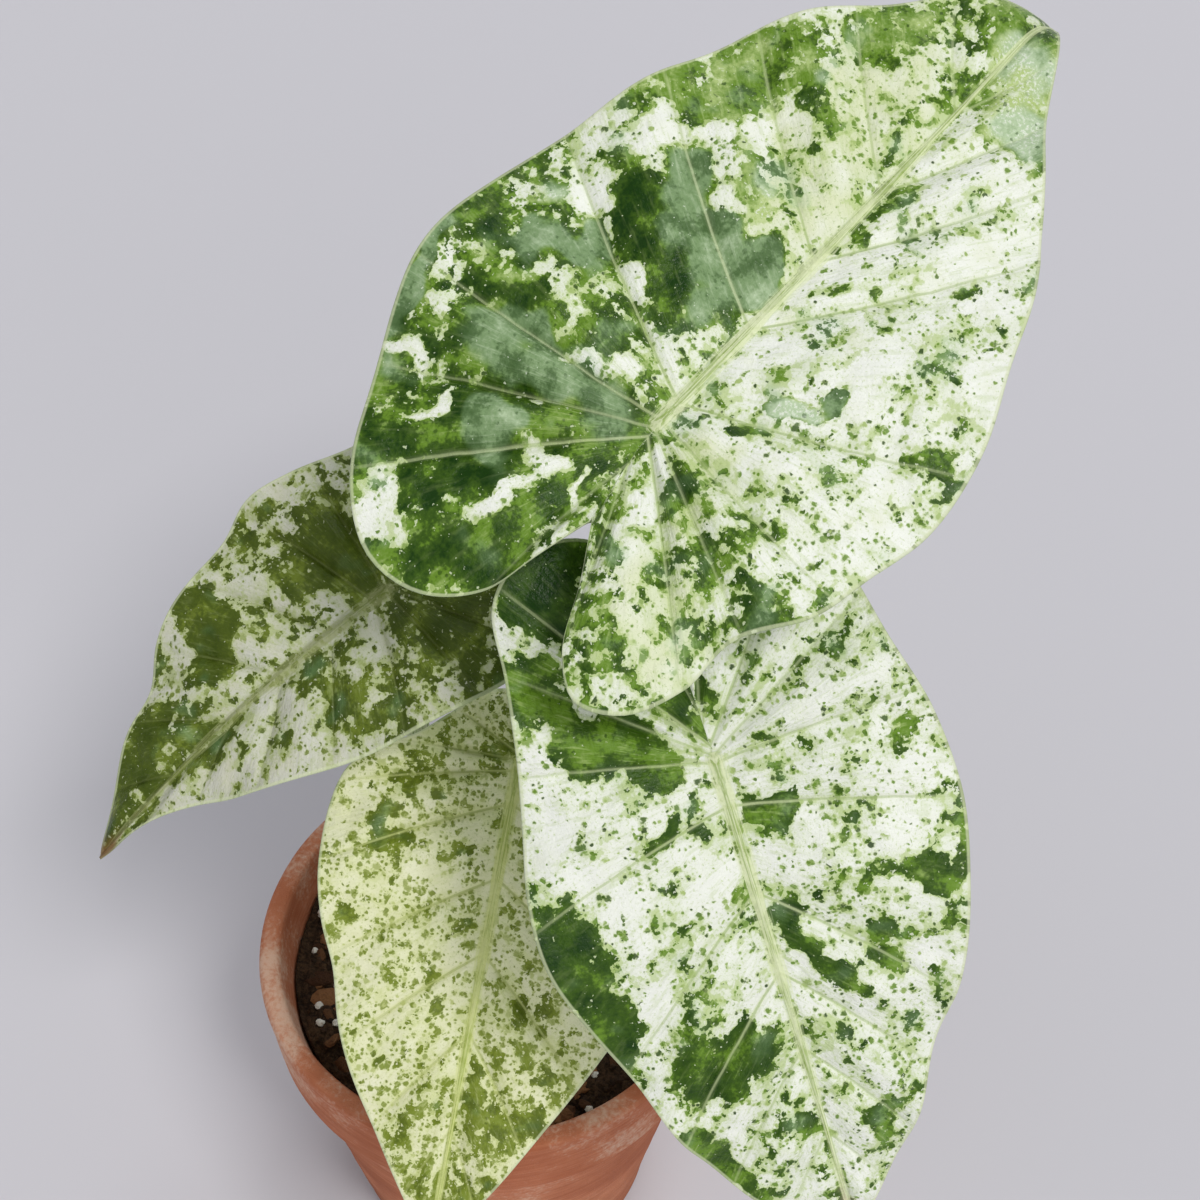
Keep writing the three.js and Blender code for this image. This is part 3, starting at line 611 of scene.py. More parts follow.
def make_blade(name, leaf, shader, slot):
    """A closed thin sheet: upper face, rounded margin, lower face and rounded margin, as one ring."""
    veins, outs = blade_steps()
    left, right = (blade_half(leaf, side, veins, outs) for side in ("left", "right"))

    def across(a, b):
        return np.concatenate([a[:, ::-1], b[:, 1:]], axis=1)

    upper, lower = across(left[0], right[0]), across(left[1], right[1])

    def rim(column, inner):
        """The margin's half circle, from the upper face to the lower."""
        outward = unit(upper[:, column, :2] - upper[:, inner, :2])
        middle = (upper[:, column] + lower[:, column]) / 2
        half_depth = (upper[:, column, 2] - lower[:, column, 2]) / 2
        angle = math.pi * np.arange(1, RIM_TURNS) / RIM_TURNS
        points = np.repeat(middle[:, None], RIM_TURNS - 1, axis=1)
        points[..., :2] += outward[:, None] * (half_depth[:, None] * np.sin(angle))[..., None]
        points[..., 2] += half_depth[:, None] * np.cos(angle)
        return points

    grid = np.concatenate([upper, rim(-1, -2), lower[:, ::-1], rim(0, 1)[:, ::-1]], axis=1)
    width, turns = upper.shape[1], RIM_TURNS - 1
    source = [*range(width), *[width - 1] * turns, *range(width - 1, -1, -1), *[0] * turns]
    turning = np.linspace(0, 1, RIM_TURNS + 1)[1:-1]
    under = np.concatenate([np.zeros(width), turning, np.ones(width), turning[::-1]])
    fields = {key: across(left[2][key], right[2][key])[:, source] for key in left[2]}
    fields["ground"][..., 2] = under

    flat = (np.array(leaf["joint"]) + grid @ axes(leaf).T).reshape(-1, 3)
    _, first, index = np.unique(np.round(flat, 4), axis=0, return_index=True, return_inverse=True)
    made = piece(name, flat[first], woven(index.reshape(grid.shape[:2])), shader)
    for key, value in fields.items():
        mark(made, key, value.reshape(-1, 3)[first])
    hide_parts(name.replace("leaf_", "blade_"))


# The leaf's colours, matched to the photograph: white, cream, and greens from dark to pale.
LEAF_WHITE = (243, 245, 236)
LEAF_CREAM = (222, 228, 190)
LEAF_PALE = (184, 204, 130)
LEAF_MID = (104, 140, 40)
LEAF_DARK = (22, 56, 2)
# The grey greens are the glaucous tint, and partly painted sheen where the top leaf's grey patches lay them.
LEAF_GREY_PALE = (190, 210, 172)
LEAF_GREY_MID = (126, 154, 106)
LEAF_GREY_DARK = (66, 96, 48)
LEAF_RIB = (222, 230, 184)
LEAF_RIB_DARK = (158, 180, 100)
LEAF_EDGE = (210, 218, 176)
LEAF_BELOW = (170, 190, 146)

# The dots on the ground, in three sizes: (cell, least green where they start, most dots, share of pale ones).
GROUND_DOTS = [(3.1, -0.5, 0.34, 0.9), (1.7, -0.62, 0.6, 0.85), (1.0, -0.7, 0.4, 0.8)]


def dots(s, where, ragged, cell, share):
    """Scattered round dots, one at most in each cell: a crisp mask, a soft halo and a shade for each."""
    sockets = {"Vector": where, "Scale": 1 / cell, "Randomness": 0.85}
    node = s.node("TexVoronoi", sockets=sockets, voronoi_dimensions="2D")
    chance, scatter, shade = s.split(node.outputs["Color"])
    spare = s.math("SUBTRACT", share, chance)
    there = s.step(spare, 0.0, 0.02)
    radius = s.scaled(scatter, 0.2, s.step(spare, 0.0, 0.6, 0.14, 0.28))
    beyond = s.math("SUBTRACT", s.scaled(ragged, 0.1, node.outputs["Distance"]), radius)
    crisp = s.times(s.step(beyond, -0.12, 0.08, 0.92, 0.0), there)
    halo = s.times(s.step(beyond, -0.05, 0.3, 0.7, 0.0), there)
    return crisp, halo, shade


def leaf_shader(name, seed, white=LEAF_WHITE, cream=LEAF_CREAM, dark=LEAF_DARK, mid=LEAF_MID, pale=LEAF_PALE,
                tip=None, rib_light=LEAF_RIB, rib_dark=LEAF_RIB_DARK, rib_show=0.85, vein_show=0.35,
                mottle=0.1, veil_show=0.65, speckle=0.0):
    """White or cream with solid green patches, dots and veils. The blade's attributes say where each lies."""
    s = Shader(name)
    plan = s.vector("ADD", s.attribute("plan"), (seed, seed * 0.7, 0))
    vein, out, hand = s.parts("flow")
    green, grey, light = s.parts("tint")
    rib, lateral, edge = s.parts("veins")
    creamy, strength, under = s.parts("ground")
    fan = s.scaled(hand, 40.0, vein)

    def flat_noise(where, scale, roughness=0.5, size=1.0, detail=2.0):
        return s.signed(where, scale, detail, roughness, flat=True, size=size)

    # How lush each place is: the marked green, with clouds and streaks about it, and with a lobed outline.
    cloud = flat_noise(plan, 0.11, size=0.13)
    streak = flat_noise(s.join(s.times(fan, 3.2), s.times(out, 3.0)), 1.0, size=0.06)
    lobe = flat_noise(plan, 0.36, size=0.13, detail=1.0)
    bud = flat_noise(plan, 1.2, 0.55)
    grain = flat_noise(plan, 1.5, 0.7)
    lush = s.plus(green, s.plus(cloud, streak))
    level = s.scaled(bud, 0.055, s.plus(lush, lobe))
    solid = s.step(level, 0.0, 0.03)

    # Tones: the green is dark, middling or pale, and vivid or grey. The grey is the glaucous tint, partly
    # painted sheen where grey patches lay it.
    tone = flat_noise(plan, 0.17, size=mottle)
    lighter = s.scaled(bud, 0.4 * mottle, s.plus(light, tone))
    grey_and_sheen = s.step(s.scaled(cloud, 1.6, grey), 0.3, 0.7)
    pale_green = s.mix(grey_and_sheen, pale, LEAF_GREY_PALE)
    mid_green = s.mix(grey_and_sheen, mid, LEAF_GREY_MID)
    dark_green = s.mix(grey_and_sheen, dark, LEAF_GREY_DARK)
    shallow = s.step(lighter, 0.32, 0.52)
    body = s.mix(shallow, s.over(dark_green, mid_green, lighter, 0.0, 0.4, 0.0, 0.3), mid_green)
    body = s.over(body, mid_green, level, 0.0, 0.12, 0.35, 0.0)
    body = s.over(body, pale_green, lighter, 0.5, 1.0, 0.0, 0.9)
    frost = s.times(s.step(lighter, 0.8, 1.1), s.step(grain, -0.4, 1.4, 0.0, 0.7))
    body = s.mix(frost, body, white)

    # The ground is white or cream, veiled here and there in pale green, and grainy where it is cream.
    ground = s.over(white, cream, s.plus(creamy, tone), 0.0, 1.0)
    ground = s.over(ground, pale_green, s.plus(lush, streak), -0.45, 0.2, 0.0, 0.45)
    wash = s.scaled(lush, 1.5, s.scaled(creamy, -0.8, grain))
    ground = s.over(ground, pale_green, wash, -0.4, 1.6, 0.0, 0.6)
    veil = s.plus(s.scaled(tone, 0.6, level), streak)
    colour = s.over(ground, pale_green, veil, -0.16, -0.04, 0.0, veil_show)
    grainy = s.times(s.step(creamy, 0.1, 0.8), s.step(grain, 0.5, 1.7))
    colour = s.mix(s.times(grainy, 0.45), colour, s.mix(0.35, pale_green, mid_green))

    # Dots on the ground, more where it is lush, then the solid green with a few dark dots and white flecks.
    crowd = s.plus(s.scaled(lobe, 1.1, lush), speckle)
    for cell, low, most, dark_share in GROUND_DOTS:
        where = s.vector("ADD", plan, (cell * 31.0, cell * 17.0, 0))
        crisp, halo, shade = dots(s, where, bud, cell, s.step(crowd, low, 0.25, 0.0, most))
        colour = s.mix(s.times(halo, 0.7), colour, pale_green)
        depth = s.scaled(creamy, -0.35, shade)
        dot = s.over(mid_green, dark_green, depth, dark_share - 0.25, dark_share + 0.15)
        colour = s.mix(crisp, colour, s.over(dot, pale_green, shade, 0.1, 0.3, 0.7, 0.0))
    colour = s.mix(solid, colour, body)
    patch_dots, _, _ = dots(s, s.vector("ADD", plan, (71.0, 53.0, 0)), bud, 1.3, 0.14)
    on_shallow = s.times(solid, shallow)
    colour = s.mix(s.times(patch_dots, s.times(on_shallow, 0.7)), colour, dark_green)
    fleck = flat_noise(s.vector("ADD", plan, (7.0, 91.0, 0)), 0.95, 0.6)
    fleck = s.step(s.scaled(lush, -1.3, fleck), 1.15, 1.5, 0.0, 0.8)
    colour = s.mix(s.times(fleck, solid), colour, ground)

    # Fine fibres along the veins, then the veins, pale on the green and darker on the white as painted shadow
    # in their grooves, the midrib, the margin and the tip.
    fibre = flat_noise(s.join(s.times(fan, 18.0), s.times(out, 8.0)), 1.0, 0.6)
    fibre_show = s.scaled(on_shallow, 0.3, s.step(solid, 0.0, 1.0, 0.3, 0.08))
    colour = s.over(colour, pale_green, fibre, 0.2, 1.8, 0.0, fibre_show)
    vein_strength = s.times(strength, vein_show)
    halo = s.times(s.step(lateral, 0.5, 2.2, 1.0, 0.0), s.step(solid, 0.0, 1.0, 1.0, 0.3))
    colour = s.mix(s.times(halo, vein_strength), colour, rib_light)
    line = s.times(s.step(lateral, 0.3, 1.0, 1.9, 0.0), vein_strength)
    # On the white ground the laterals' line is darker green, painted shadow in their grooves; on solid green
    # it is the pale vein.
    vein_line_and_groove_shade = s.mix(s.times(solid, 0.65), s.mix(0.45, pale_green, mid_green), rib_light)
    colour = s.mix(line, colour, vein_line_and_groove_shade)
    stripe = flat_noise(s.join(s.times(rib, 2.0), s.times(vein, 1.4)), 1.0, 0.6, detail=3.0)
    rib_colour = s.over(rib_light, rib_dark, stripe, -0.6, 1.2)
    colour = s.over(colour, rib_colour, s.scaled(stripe, 0.35, rib), 0.8, 2.0, rib_show, 0.0)
    colour = s.over(colour, LEAF_EDGE, edge, 0.1, 0.45, 0.6, 0.0)
    if tip:
        colour = s.over(colour, tip, s.plus(vein, tone), 9.45, 9.95, 0.0, 0.85)
    colour = s.mix(under, colour, s.mix(0.6, colour, LEAF_BELOW))

    height = s.scaled(fibre, 0.16, s.times(s.noise(plan, 1.4, 2.0, 0.6, flat=True), 0.9))
    gloss = s.scaled(tone, 0.2, s.step(under, 0.2, 0.8, 0.36, 0.6))
    return s.finish(colour, gloss, 0.18, (height, 0.35, 0.0006))


LEAF_SHADERS = {
    "top": (leaf_shader("leaf green and white", 11.0, mottle=0.14), "blade_green"),
    # The olive leaf's white and cream are darker, greyer copies of the others': painted shade for the shade it
    # lies in under the top leaf.
    "left": (leaf_shader(
        "leaf olive and grey", 53.0, white=(208, 208, 197), cream=(198, 198, 165), dark=(56, 72, 10),
        mid=(106, 122, 38), pale=(170, 182, 120), tip=(120, 82, 48), rib_light=(150, 156, 104),
        rib_dark=(118, 130, 62), rib_show=0.7, vein_show=0.12), "blade_olive"),
    "low": (leaf_shader(
        "leaf cream", 97.0, white=(244, 243, 222), cream=(232, 233, 192), dark=(80, 96, 22),
        mid=(124, 140, 46), pale=(206, 214, 146), rib_light=(214, 220, 148), rib_dark=(168, 184, 90),
        rib_show=0.9, vein_show=0.4, veil_show=0.4, speckle=0.22), "blade_cream"),
    "front": (leaf_shader("leaf white", 143.0, tip=(226, 206, 190)), "blade_white"),
}

for leaf_name, leaf in LEAVES.items():
    make_blade("leaf_" + leaf_name, leaf, *LEAF_SHADERS[leaf_name])


# The pot, as in the part's source: corners of its outline as (radius, height, rounding), and its drain holes.
POT_HEIGHT = 98
POT_FLOOR = 6
POT_FLOOR_RADIUS = 34
POT_MOUTH_RADIUS = 51
POT_OUTLINE = [(0, 0, 0), (38, 0, 1.6), (51, 74.6, 0.8), (54.3, 75, 1.6), (56.1, POT_HEIGHT, 2.4),
               (51.1, POT_HEIGHT, 1.8), (POT_FLOOR_RADIUS, POT_FLOOR, 2.6), (0, POT_FLOOR, 0)]
POT_STEP = 1.9
POT_SEGMENTS = 192
POT_RIDGES = 0.05
POT_UNEVENNESS = 0.35
DRAIN_HOLES = 4
DRAIN_HOLE_RADIUS = 4
DRAIN_RING_RADIUS = 19
DRAIN_SIDES = 48
DRAIN_EDGE_ANGLE = 50


def rounded(corners, steps=7):
    """A line through corners (radius, height, rounding), each corner turned by its own rounding."""
    path = []
    for k, (radius, height, size) in enumerate(corners):
        here = np.array([radius, height], float)
        if size == 0:
            path.append(here)
            continue
        first, last = (here + unit(np.array(corners[other][:2]) - here) * size for other in (k - 1, k + 1))
        path += [arc(first, here, last, t) for t in np.linspace(0, 1, steps)]
    return path


def filled(path, spacing):
    """The same line with points added, so that no two neighbours are farther apart than the spacing."""
    path = [np.array(point, float) for point in path]
    full = [path[0]]
    for start, end in zip(path, path[1:]):
        count = max(1, math.ceil(np.linalg.norm(end - start) / spacing))
        full += [start + (end - start) * k / count for k in range(1, count + 1)]
    return np.array(full)


def turned(name, profile, segments, shader, shape):
    """A body turned about the pot's axis, from the middle of its foot round to the middle of its top."""
    radius, angle = np.meshgrid(profile[:, 0], 2 * np.pi * np.arange(segments) / segments, indexing="ij")
    points = shape(about_axis(angle, radius, profile[:, [1]]), radius, angle)
    flat = [points[0, 0], *points[1:-1].reshape(-1, 3), points[-1, 0]]
    index = np.arange(1 - segments, len(flat) - 1 + segments).reshape(-1, segments)
    index[0], index[-1] = 0, len(flat) - 1
    return piece(name, flat, woven(index), shader)


def clay_shader():
    s = Shader("clay")
    place = s.place()
    z = s.split(place)[2]
    cloud = s.signed(place, 0.03, 4.0, 0.6)
    speck = s.signed(place, 0.9, 3.0, 0.6)
    fine = s.signed(place, 3.0)
    bands = s.signed(s.vector("MULTIPLY", place, (0.06, 0.06, 1.1)), 1.0, 3.0, 0.6)
    colour = s.over((176, 102, 70), (204, 132, 98), s.scaled(bands, 0.5, cloud), -1.5, 1.5)
    # Damp at the foot, a pale bloom of lime towards the rim, and dark specks.
    colour = s.over(colour, (142, 82, 58), s.scaled(cloud, 9.0, z), 4.0, 46.0, 0.5, 0.0)
    bloom = s.scaled(speck, 0.22, s.scaled(cloud, 0.55, s.math("DIVIDE", z, POT_HEIGHT)))
    colour = s.over(colour, (222, 190, 168), bloom, 0.75, 1.7, 0.0, 0.75)
    colour = s.over(colour, (128, 72, 52), speck, 1.7, 2.4, 0.0, 0.5)
    height = s.scaled(bands, 0.6, s.scaled(speck, 0.3, fine))
    return s.finish(colour, s.scaled(cloud, 0.03, 0.86), 0.2, (height, 0.35, 0.0004))


def pot_shape(points, radius, angle):
    """The slight unevenness of a pot turned by hand, on its walls but not on its foot."""
    z = points[..., 2]
    change = POT_RIDGES * np.sin(z * 0.55 + 1.2 * np.sin(angle))
    change += POT_UNEVENNESS * rough(points, 0.016, 3, 7.0)
    points[..., :2] *= (1 + change * smooth(1, 6, z) / np.maximum(radius, 20))[..., None]
    return points


def drain_rods():
    """Upright rods where the drain holes are, for cutting them."""
    ring = about_axis(2 * np.pi * np.arange(DRAIN_SIDES) / DRAIN_SIDES, DRAIN_HOLE_RADIUS)
    points, faces = [], []
    for hole in range(DRAIN_HOLES):
        middle = about_axis(2 * np.pi * (hole + 0.5) / DRAIN_HOLES, DRAIN_RING_RADIUS)
        index = len(points) + np.arange(2 * DRAIN_SIDES).reshape(2, -1)
        points += [*(ring + middle + (0, 0, -1)), *(ring + middle + (0, 0, POT_FLOOR + 1))]
        faces += [index[0, ::-1].tolist(), index[1].tolist(), *woven(index)]
    return mesh_object("drain_rods", points, faces)


def make_pot():
    outline = filled(rounded(POT_OUTLINE), POT_STEP)
    pot = turned("pot_fine", outline, POT_SEGMENTS, clay_shader(), pot_shape)
    rods = drain_rods()
    cut = pot.modifiers.new("drain", "BOOLEAN")
    cut.operation = "DIFFERENCE"
    cut.solver = "EXACT"
    cut.object = rods
    holed = bpy.data.meshes.new_from_object(pot.evaluated_get(bpy.context.evaluated_depsgraph_get()))
    pot.modifiers.remove(cut)
    pot.data = holed
    bpy.data.objects.remove(rods)
    holed.polygons.foreach_set("use_smooth", [True] * len(holed.polygons))
    holed.set_sharp_from_angle(angle=math.radians(DRAIN_EDGE_ANGLE))
    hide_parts("pot")


def pot_inner_radius(height):
    share = (height - POT_FLOOR) / (POT_HEIGHT - POT_FLOOR)
    return POT_FLOOR_RADIUS + (POT_MOUTH_RADIUS - POT_FLOOR_RADIUS) * share


# The soil, as in the part's source: it rises to its middle and is uneven on top, here with crumbs as well.
SOIL_FOOT = 6.3
SOIL_TOP = 86
SOIL_CROWN = 1.5
SOIL_WAVES = [(0.6, 0.21, 0.17, 0.4), (0.6, 0.21, -0.17, 1.2), (0.6, 0.11, -0.33, 0)]
SOIL_CRUMBS = 1.1
SOIL_GAP = 0.6
SOIL_RINGS = 62
SOIL_SEGMENTS = 300
SOIL_STEP = 6
SOIL_HOLE_RADIUS = 12.8
SOIL_HOLE_TOP = 80
SOIL_HOLE_FOOT = 51.7


def soil_height(x, y):
    share = np.hypot(x, y) / pot_inner_radius(SOIL_TOP)
    crumbs = SOIL_CRUMBS * rough(np.stack([x, y, np.zeros_like(x)], -1), 0.35, 5, 3.0)
    return SOIL_TOP + SOIL_CROWN * (1 - share) + waves(SOIL_WAVES, x, y) + crumbs


def soil_shader():
    s = Shader("soil")
    place = s.place()
    grain = s.signed(place, 0.9, 4.0, 0.7)
    cloud = s.signed(place, 0.12)
    colour = s.over((38, 27, 20), (86, 64, 46), s.scaled(cloud, 0.5, grain), -1.5, 1.6)
    colour = s.over(colour, (126, 100, 74), grain, 1.2, 2.2, 0.0, 0.7)
    return s.finish(colour, 0.95, 0.15, (grain, 0.6, 0.0008))


def make_soil():
    wall = pot_inner_radius(SOIL_TOP) - SOIL_GAP
    foot = pot_inner_radius(SOIL_FOOT) - SOIL_GAP
    hole = SOIL_HOLE_RADIUS
    below = filled([(0, SOIL_FOOT), (foot, SOIL_FOOT), (wall, SOIL_TOP - 1)], SOIL_STEP)
    top = np.stack([np.linspace(wall, hole, SOIL_RINGS), np.full(SOIL_RINGS, SOIL_TOP)], -1)
    in_hole = filled([(hole, SOIL_HOLE_TOP), (hole, SOIL_HOLE_FOOT), (0, SOIL_HOLE_FOOT)], SOIL_STEP)

    def raise_top(points, radius, angle):
        rows = slice(len(below), len(below) + len(top))
        points[rows, :, 2] = soil_height(points[rows, :, 0], points[rows, :, 1])
        return points

    outline = np.vstack([below, top, in_hole])
    soil = turned("soil_fine", outline, SOIL_SEGMENTS, soil_shader(), raise_top)
    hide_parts("soil")


# What lies on the soil: bark chips, perlite and crumbs, each kind as (count, number for the material, sizes
# from and to, how it is squashed, how jagged it is, how fine its ball is). They lie in a ring round the stem.
BARK, CRUMB, PERLITE = 0, 1, 2
LITTER = [(230, BARK, (1.6, 4.2), (1, 0.62, 0.34), 0.24, 2),
          (110, PERLITE, (0.7, 1.5), (1, 0.9, 0.8), 0.14, 2),
          (520, CRUMB, (0.5, 1.3), (1, 0.85, 0.7), 0.22, 1)]
LITTER_RING = (15.5, 46)
LITTER_GAP = 1.4
LITTER_HEIGHTS = (-0.1, 0.35)
LITTER_SEED = 5


def ball(divisions):
    """The corners and faces of a ball made of even triangles."""
    mesh = bmesh.new()
    bmesh.ops.create_icosphere(mesh, subdivisions=divisions, radius=1)
    points = np.array([tuple(v.co) for v in mesh.verts])
    faces = [[v.index for v in face.verts] for face in mesh.faces]
    mesh.free()
    return points, faces


def lump(sphere, rng, size, squash, jag):
    """The points of one lump: a ball stretched three ways, with each corner pushed in or out."""
    points = sphere * size * np.array(squash) * (1 + jag * rng.uniform(-1, 1, (len(sphere), 1)))
    turn = Matrix.Rotation(rng.uniform(0, 6.3), 3, "Z") @ Matrix.Rotation(rng.uniform(-0.5, 0.5), 3, "X")
    return points @ np.array(turn).T


def litter_shader():
    """Bark, crumbs and perlite: the attribute says which, and how light each piece is."""
    s = Shader("bark and perlite")
    kind, shade, _ = s.parts("kind")
    grain = s.signed(s.place(), 1.1, 3.0, 0.65)
    bark = s.mix(shade, (66, 42, 27), (148, 104, 68))
    bark = s.over(bark, (44, 29, 20), grain, 0.4, 1.8, 0.0, 0.7)
    crumb = s.mix(shade, (34, 24, 18), (78, 58, 42))
    perlite = s.over((232, 228, 218), (176, 164, 146), grain, 0.8, 2.2)
    colour = s.over(bark, crumb, kind, BARK + 0.4, BARK + 0.6)
    colour = s.over(colour, perlite, kind, CRUMB + 0.4, CRUMB + 0.6)
    return s.finish(colour, 0.9, 0.2, (grain, 0.5, 0.0005))


def make_litter():
    rng = np.random.default_rng(LITTER_SEED)
    points, faces, marks = [], [], []
    for count, kind, sizes, squash, jag, divisions in LITTER:
        sphere, sphere_faces = ball(divisions)
        for _ in range(count):
            size = rng.uniform(*sizes)
            out = math.sqrt(rng.uniform(*(reach**2 for reach in LITTER_RING)))
            out = min(out, pot_inner_radius(SOIL_TOP) - LITTER_GAP - size)
            place = about_axis(rng.uniform(0, 2 * math.pi), out)
            place[2] = soil_height(place[[0]], place[[1]])[0]
            body = lump(sphere, rng, size, squash, jag) + place
            body[:, 2] += rng.uniform(*LITTER_HEIGHTS) * size * squash[2]
            faces += [[len(points) + k for k in face] for face in sphere_faces]
            points += body.tolist()
            marks += [(kind, rng.uniform(0, 1), 0)] * len(body)
    mark(piece("soil_chips", points, faces, litter_shader(), False), "kind", marks)


# The stem, as in the part's source, with the rings of scars that old leaves leave.
STEM_FOOT = 52
STEM_TOP = 112
STEM_OUTLINE = [(0, STEM_FOOT, 0), (9.5, STEM_FOOT, 1), (12.4, 57, 1.5), (12.4, 101, 3), (10.7, 108, 2.5),
                (8.6, 111.6, 1.8), (0, STEM_TOP, 0)]
STEM_STEP = 0.5
STEM_SEGMENTS = 120
SCAR_HEIGHTS = (90.5, 93.6, 96.8, 100.4, 104.2)
SCAR_DEPTH, SCAR_WIDTH = 0.75, 0.55
SCAR_LIP, SCAR_LIP_WIDTH, SCAR_LIP_DROP = 0.25, 0.6, 1.1
SCAR_TILT = 0.6


def stem_shader():
    s = Shader("stem")
    place = s.place()
    rings = s.signed(s.vector("MULTIPLY", place, (0.12, 0.12, 1.3)), 1.0, 4.0, 0.65)
    cloud = s.signed(place, 0.16, 3.0, 0.6)
    up = s.step(s.scaled(cloud, 3.0, s.split(place)[2]), 90.0, 110.0)
    colour = s.over((92, 72, 48), (156, 136, 98), rings, -1.4, 1.4)
    colour = s.mix(s.times(up, 0.75), colour, (134, 150, 86))
    colour = s.over(colour, (196, 178, 140), cloud, 0.9, 2.0, 0.0, 0.7)
    return s.finish(colour, 0.75, 0.25, (rings, 0.5, 0.0005))


def scarred(points, radius, angle):
    """The stem's rough skin above the soil, with a groove and a lip for each scar."""
    z = points[..., 2]
    change = 0.5 * rough(points, 0.14, 4, 11.0) * smooth(84, 90, z)
    for k, height in enumerate(SCAR_HEIGHTS):
        away = z - height - SCAR_TILT * np.sin(angle + 1.7 * k)
        change += SCAR_LIP * bell((away + SCAR_LIP_DROP) / SCAR_LIP_WIDTH)
        change -= SCAR_DEPTH * bell(away / SCAR_WIDTH)
    points[..., :2] *= (1 + change / np.maximum(radius, 6))[..., None]
    return points


def make_stem():
    outline = filled(rounded(STEM_OUTLINE), STEM_STEP)
    stem = turned("stem_fine", outline, STEM_SEGMENTS, stem_shader(), scarred)
    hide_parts("stem")


# Old leaf sheaths: dry tongues round the stem. Each is (turn, foot height, tip height, half width, curl).
OLD_SHEATHS = [(60, 88, 117, 40, 3.2), (140, 88, 112, 46, 4.6), (222, 88, 119, 38, 2.6),
               (318, 88, 110, 44, 5.4)]
SHEATH_THICKNESS = 0.45
SHEATH_ROWS = 56
SHEATH_COLUMNS = 41
SHEATH_START = 3
SHEATH_RADIUS = 13.1


def sheath_shader():
    s = Shader("old sheath")
    along, across, _ = s.parts("flow")
    fibres = s.signed(s.join(s.times(across, 26.0), s.times(along, 1.6)), 1.0, 4.0, 0.6)
    blot = s.signed(s.join(s.times(across, 3.0), s.times(along, 4.0)), 1.0, 3.0, 0.6)
    colour = s.over((118, 88, 54), (186, 158, 112), fibres, -1.3, 1.3)
    colour = s.over(colour, (86, 60, 38), blot, 0.3, 1.6, 0.0, 0.6)
    colour = s.over(colour, (92, 66, 42), along, 0.6, 1.05, 0.0, 0.55)
    return s.finish(colour, 0.7, 0.3, (fibres, 0.6, 0.0004))


def make_sheaths():
    """Closed thin tongues, each between an outer and an inner grid of points."""
    shader = sheath_shader()
    v, u = np.meshgrid(np.linspace(0, 1, SHEATH_ROWS), np.linspace(-1, 1, SHEATH_COLUMNS), indexing="ij")
    outside, within = np.arange(2 * v.size).reshape(2, *v.shape)
    faces = woven(np.hstack([outside, within[:, ::-1]]))
    for end in ([within[0], outside[0]], [outside[-1], within[-1]]):
        faces += woven(np.stack(end), False)
    for number, (turn, foot, tip, half_width, curl) in enumerate(OLD_SHEATHS):
        ragged = 0.05 * np.sin(9 * v + number) + 0.03 * np.sin(23 * v + 2 * number)
        width = half_width * (1 - v**1.7) ** 0.6 * (1 + ragged) + 1.5
        angle = np.radians(turn + u * width + 4 * v * np.sin(2 + number))
        crease = 0.35 * np.sin(7 * u + number) * v + 0.18 * np.sin(17 * u + 3 * number)
        out = SHEATH_RADIUS + 0.5 * (1 - v) + curl * v**2.4 + crease * (0.3 + v) - 1.2 * (1 - u**2) * v**1.5
        height = foot - SHEATH_START + (tip - foot + SHEATH_START) * v - 1.4 * u**2 * v
        sides = about_axis(angle, out, height), about_axis(angle, out - SHEATH_THICKNESS, height)
        points = np.stack(sides).reshape(-1, 3)
        made = piece("old_sheath_%d" % (number + 1), points, faces, shader)
        mark(made, "flow", [np.stack([v, u, 0 * v], -1)] * 2)


# Stalks: swept along the same curve as the part's, from inside the stem to inside the blade's underside, with
# a groove on the inner side, a clasping sheath's two wings beside it near the foot and a flared top.
STALK_RING_RADIUS = 6.4
STALK_SIDES = 72
STALK_CROWDING = 0.175
STALK_RINGS = 150
STALK_TOP_RINGS = 8
STALK_TOP_STEP = 0.4
STALK_START_HEIGHT = 97
STALK_CURVE_DEPTH = 4.8
STALK_END_DEPTH = 1.6
STALK_FLARE, STALK_FLARE_REACH = 0.7, 5
STALK_SWELL, STALK_SWELL_PLACE, STALK_SWELL_REACH = 0.12, 14, 9
STALK_GROOVE, STALK_GROOVE_WIDTH = 0.14, 0.42
STALK_FLUTES = 0.05
WING_SHARE, WING_FADE = 0.36, 0.18
WING_HEIGHT = 2.3
WING_PLACE, WING_WIDTH = 0.66, 0.15


def stalk_shader():
    s = Shader("stalk")
    run, around, _ = s.parts("flow")
    streaks = s.signed(s.join(s.times(around, 3.4), s.times(run, 0.045)), 1.0, 4.0, 0.6)
    spots = s.signed(s.join(s.times(around, 2.0), s.times(run, 0.3)), 1.0, 3.0, 0.6)
    colour = s.over((214, 220, 180), (150, 176, 104), streaks, -1.2, 1.4)
    colour = s.over(colour, (92, 124, 54), s.plus(spots, streaks), 0.9, 2.0, 0.0, 0.85)
    colour = s.over(colour, (236, 238, 218), s.math("SUBTRACT", spots, streaks), 1.0, 2.2, 0.0, 0.8)
    colour = s.over(colour, (178, 168, 118), run, 0.0, 34.0, 0.55, 0.0)
    return s.finish(colour, 0.38, 0.35, (streaks, 0.25, 0.0003))


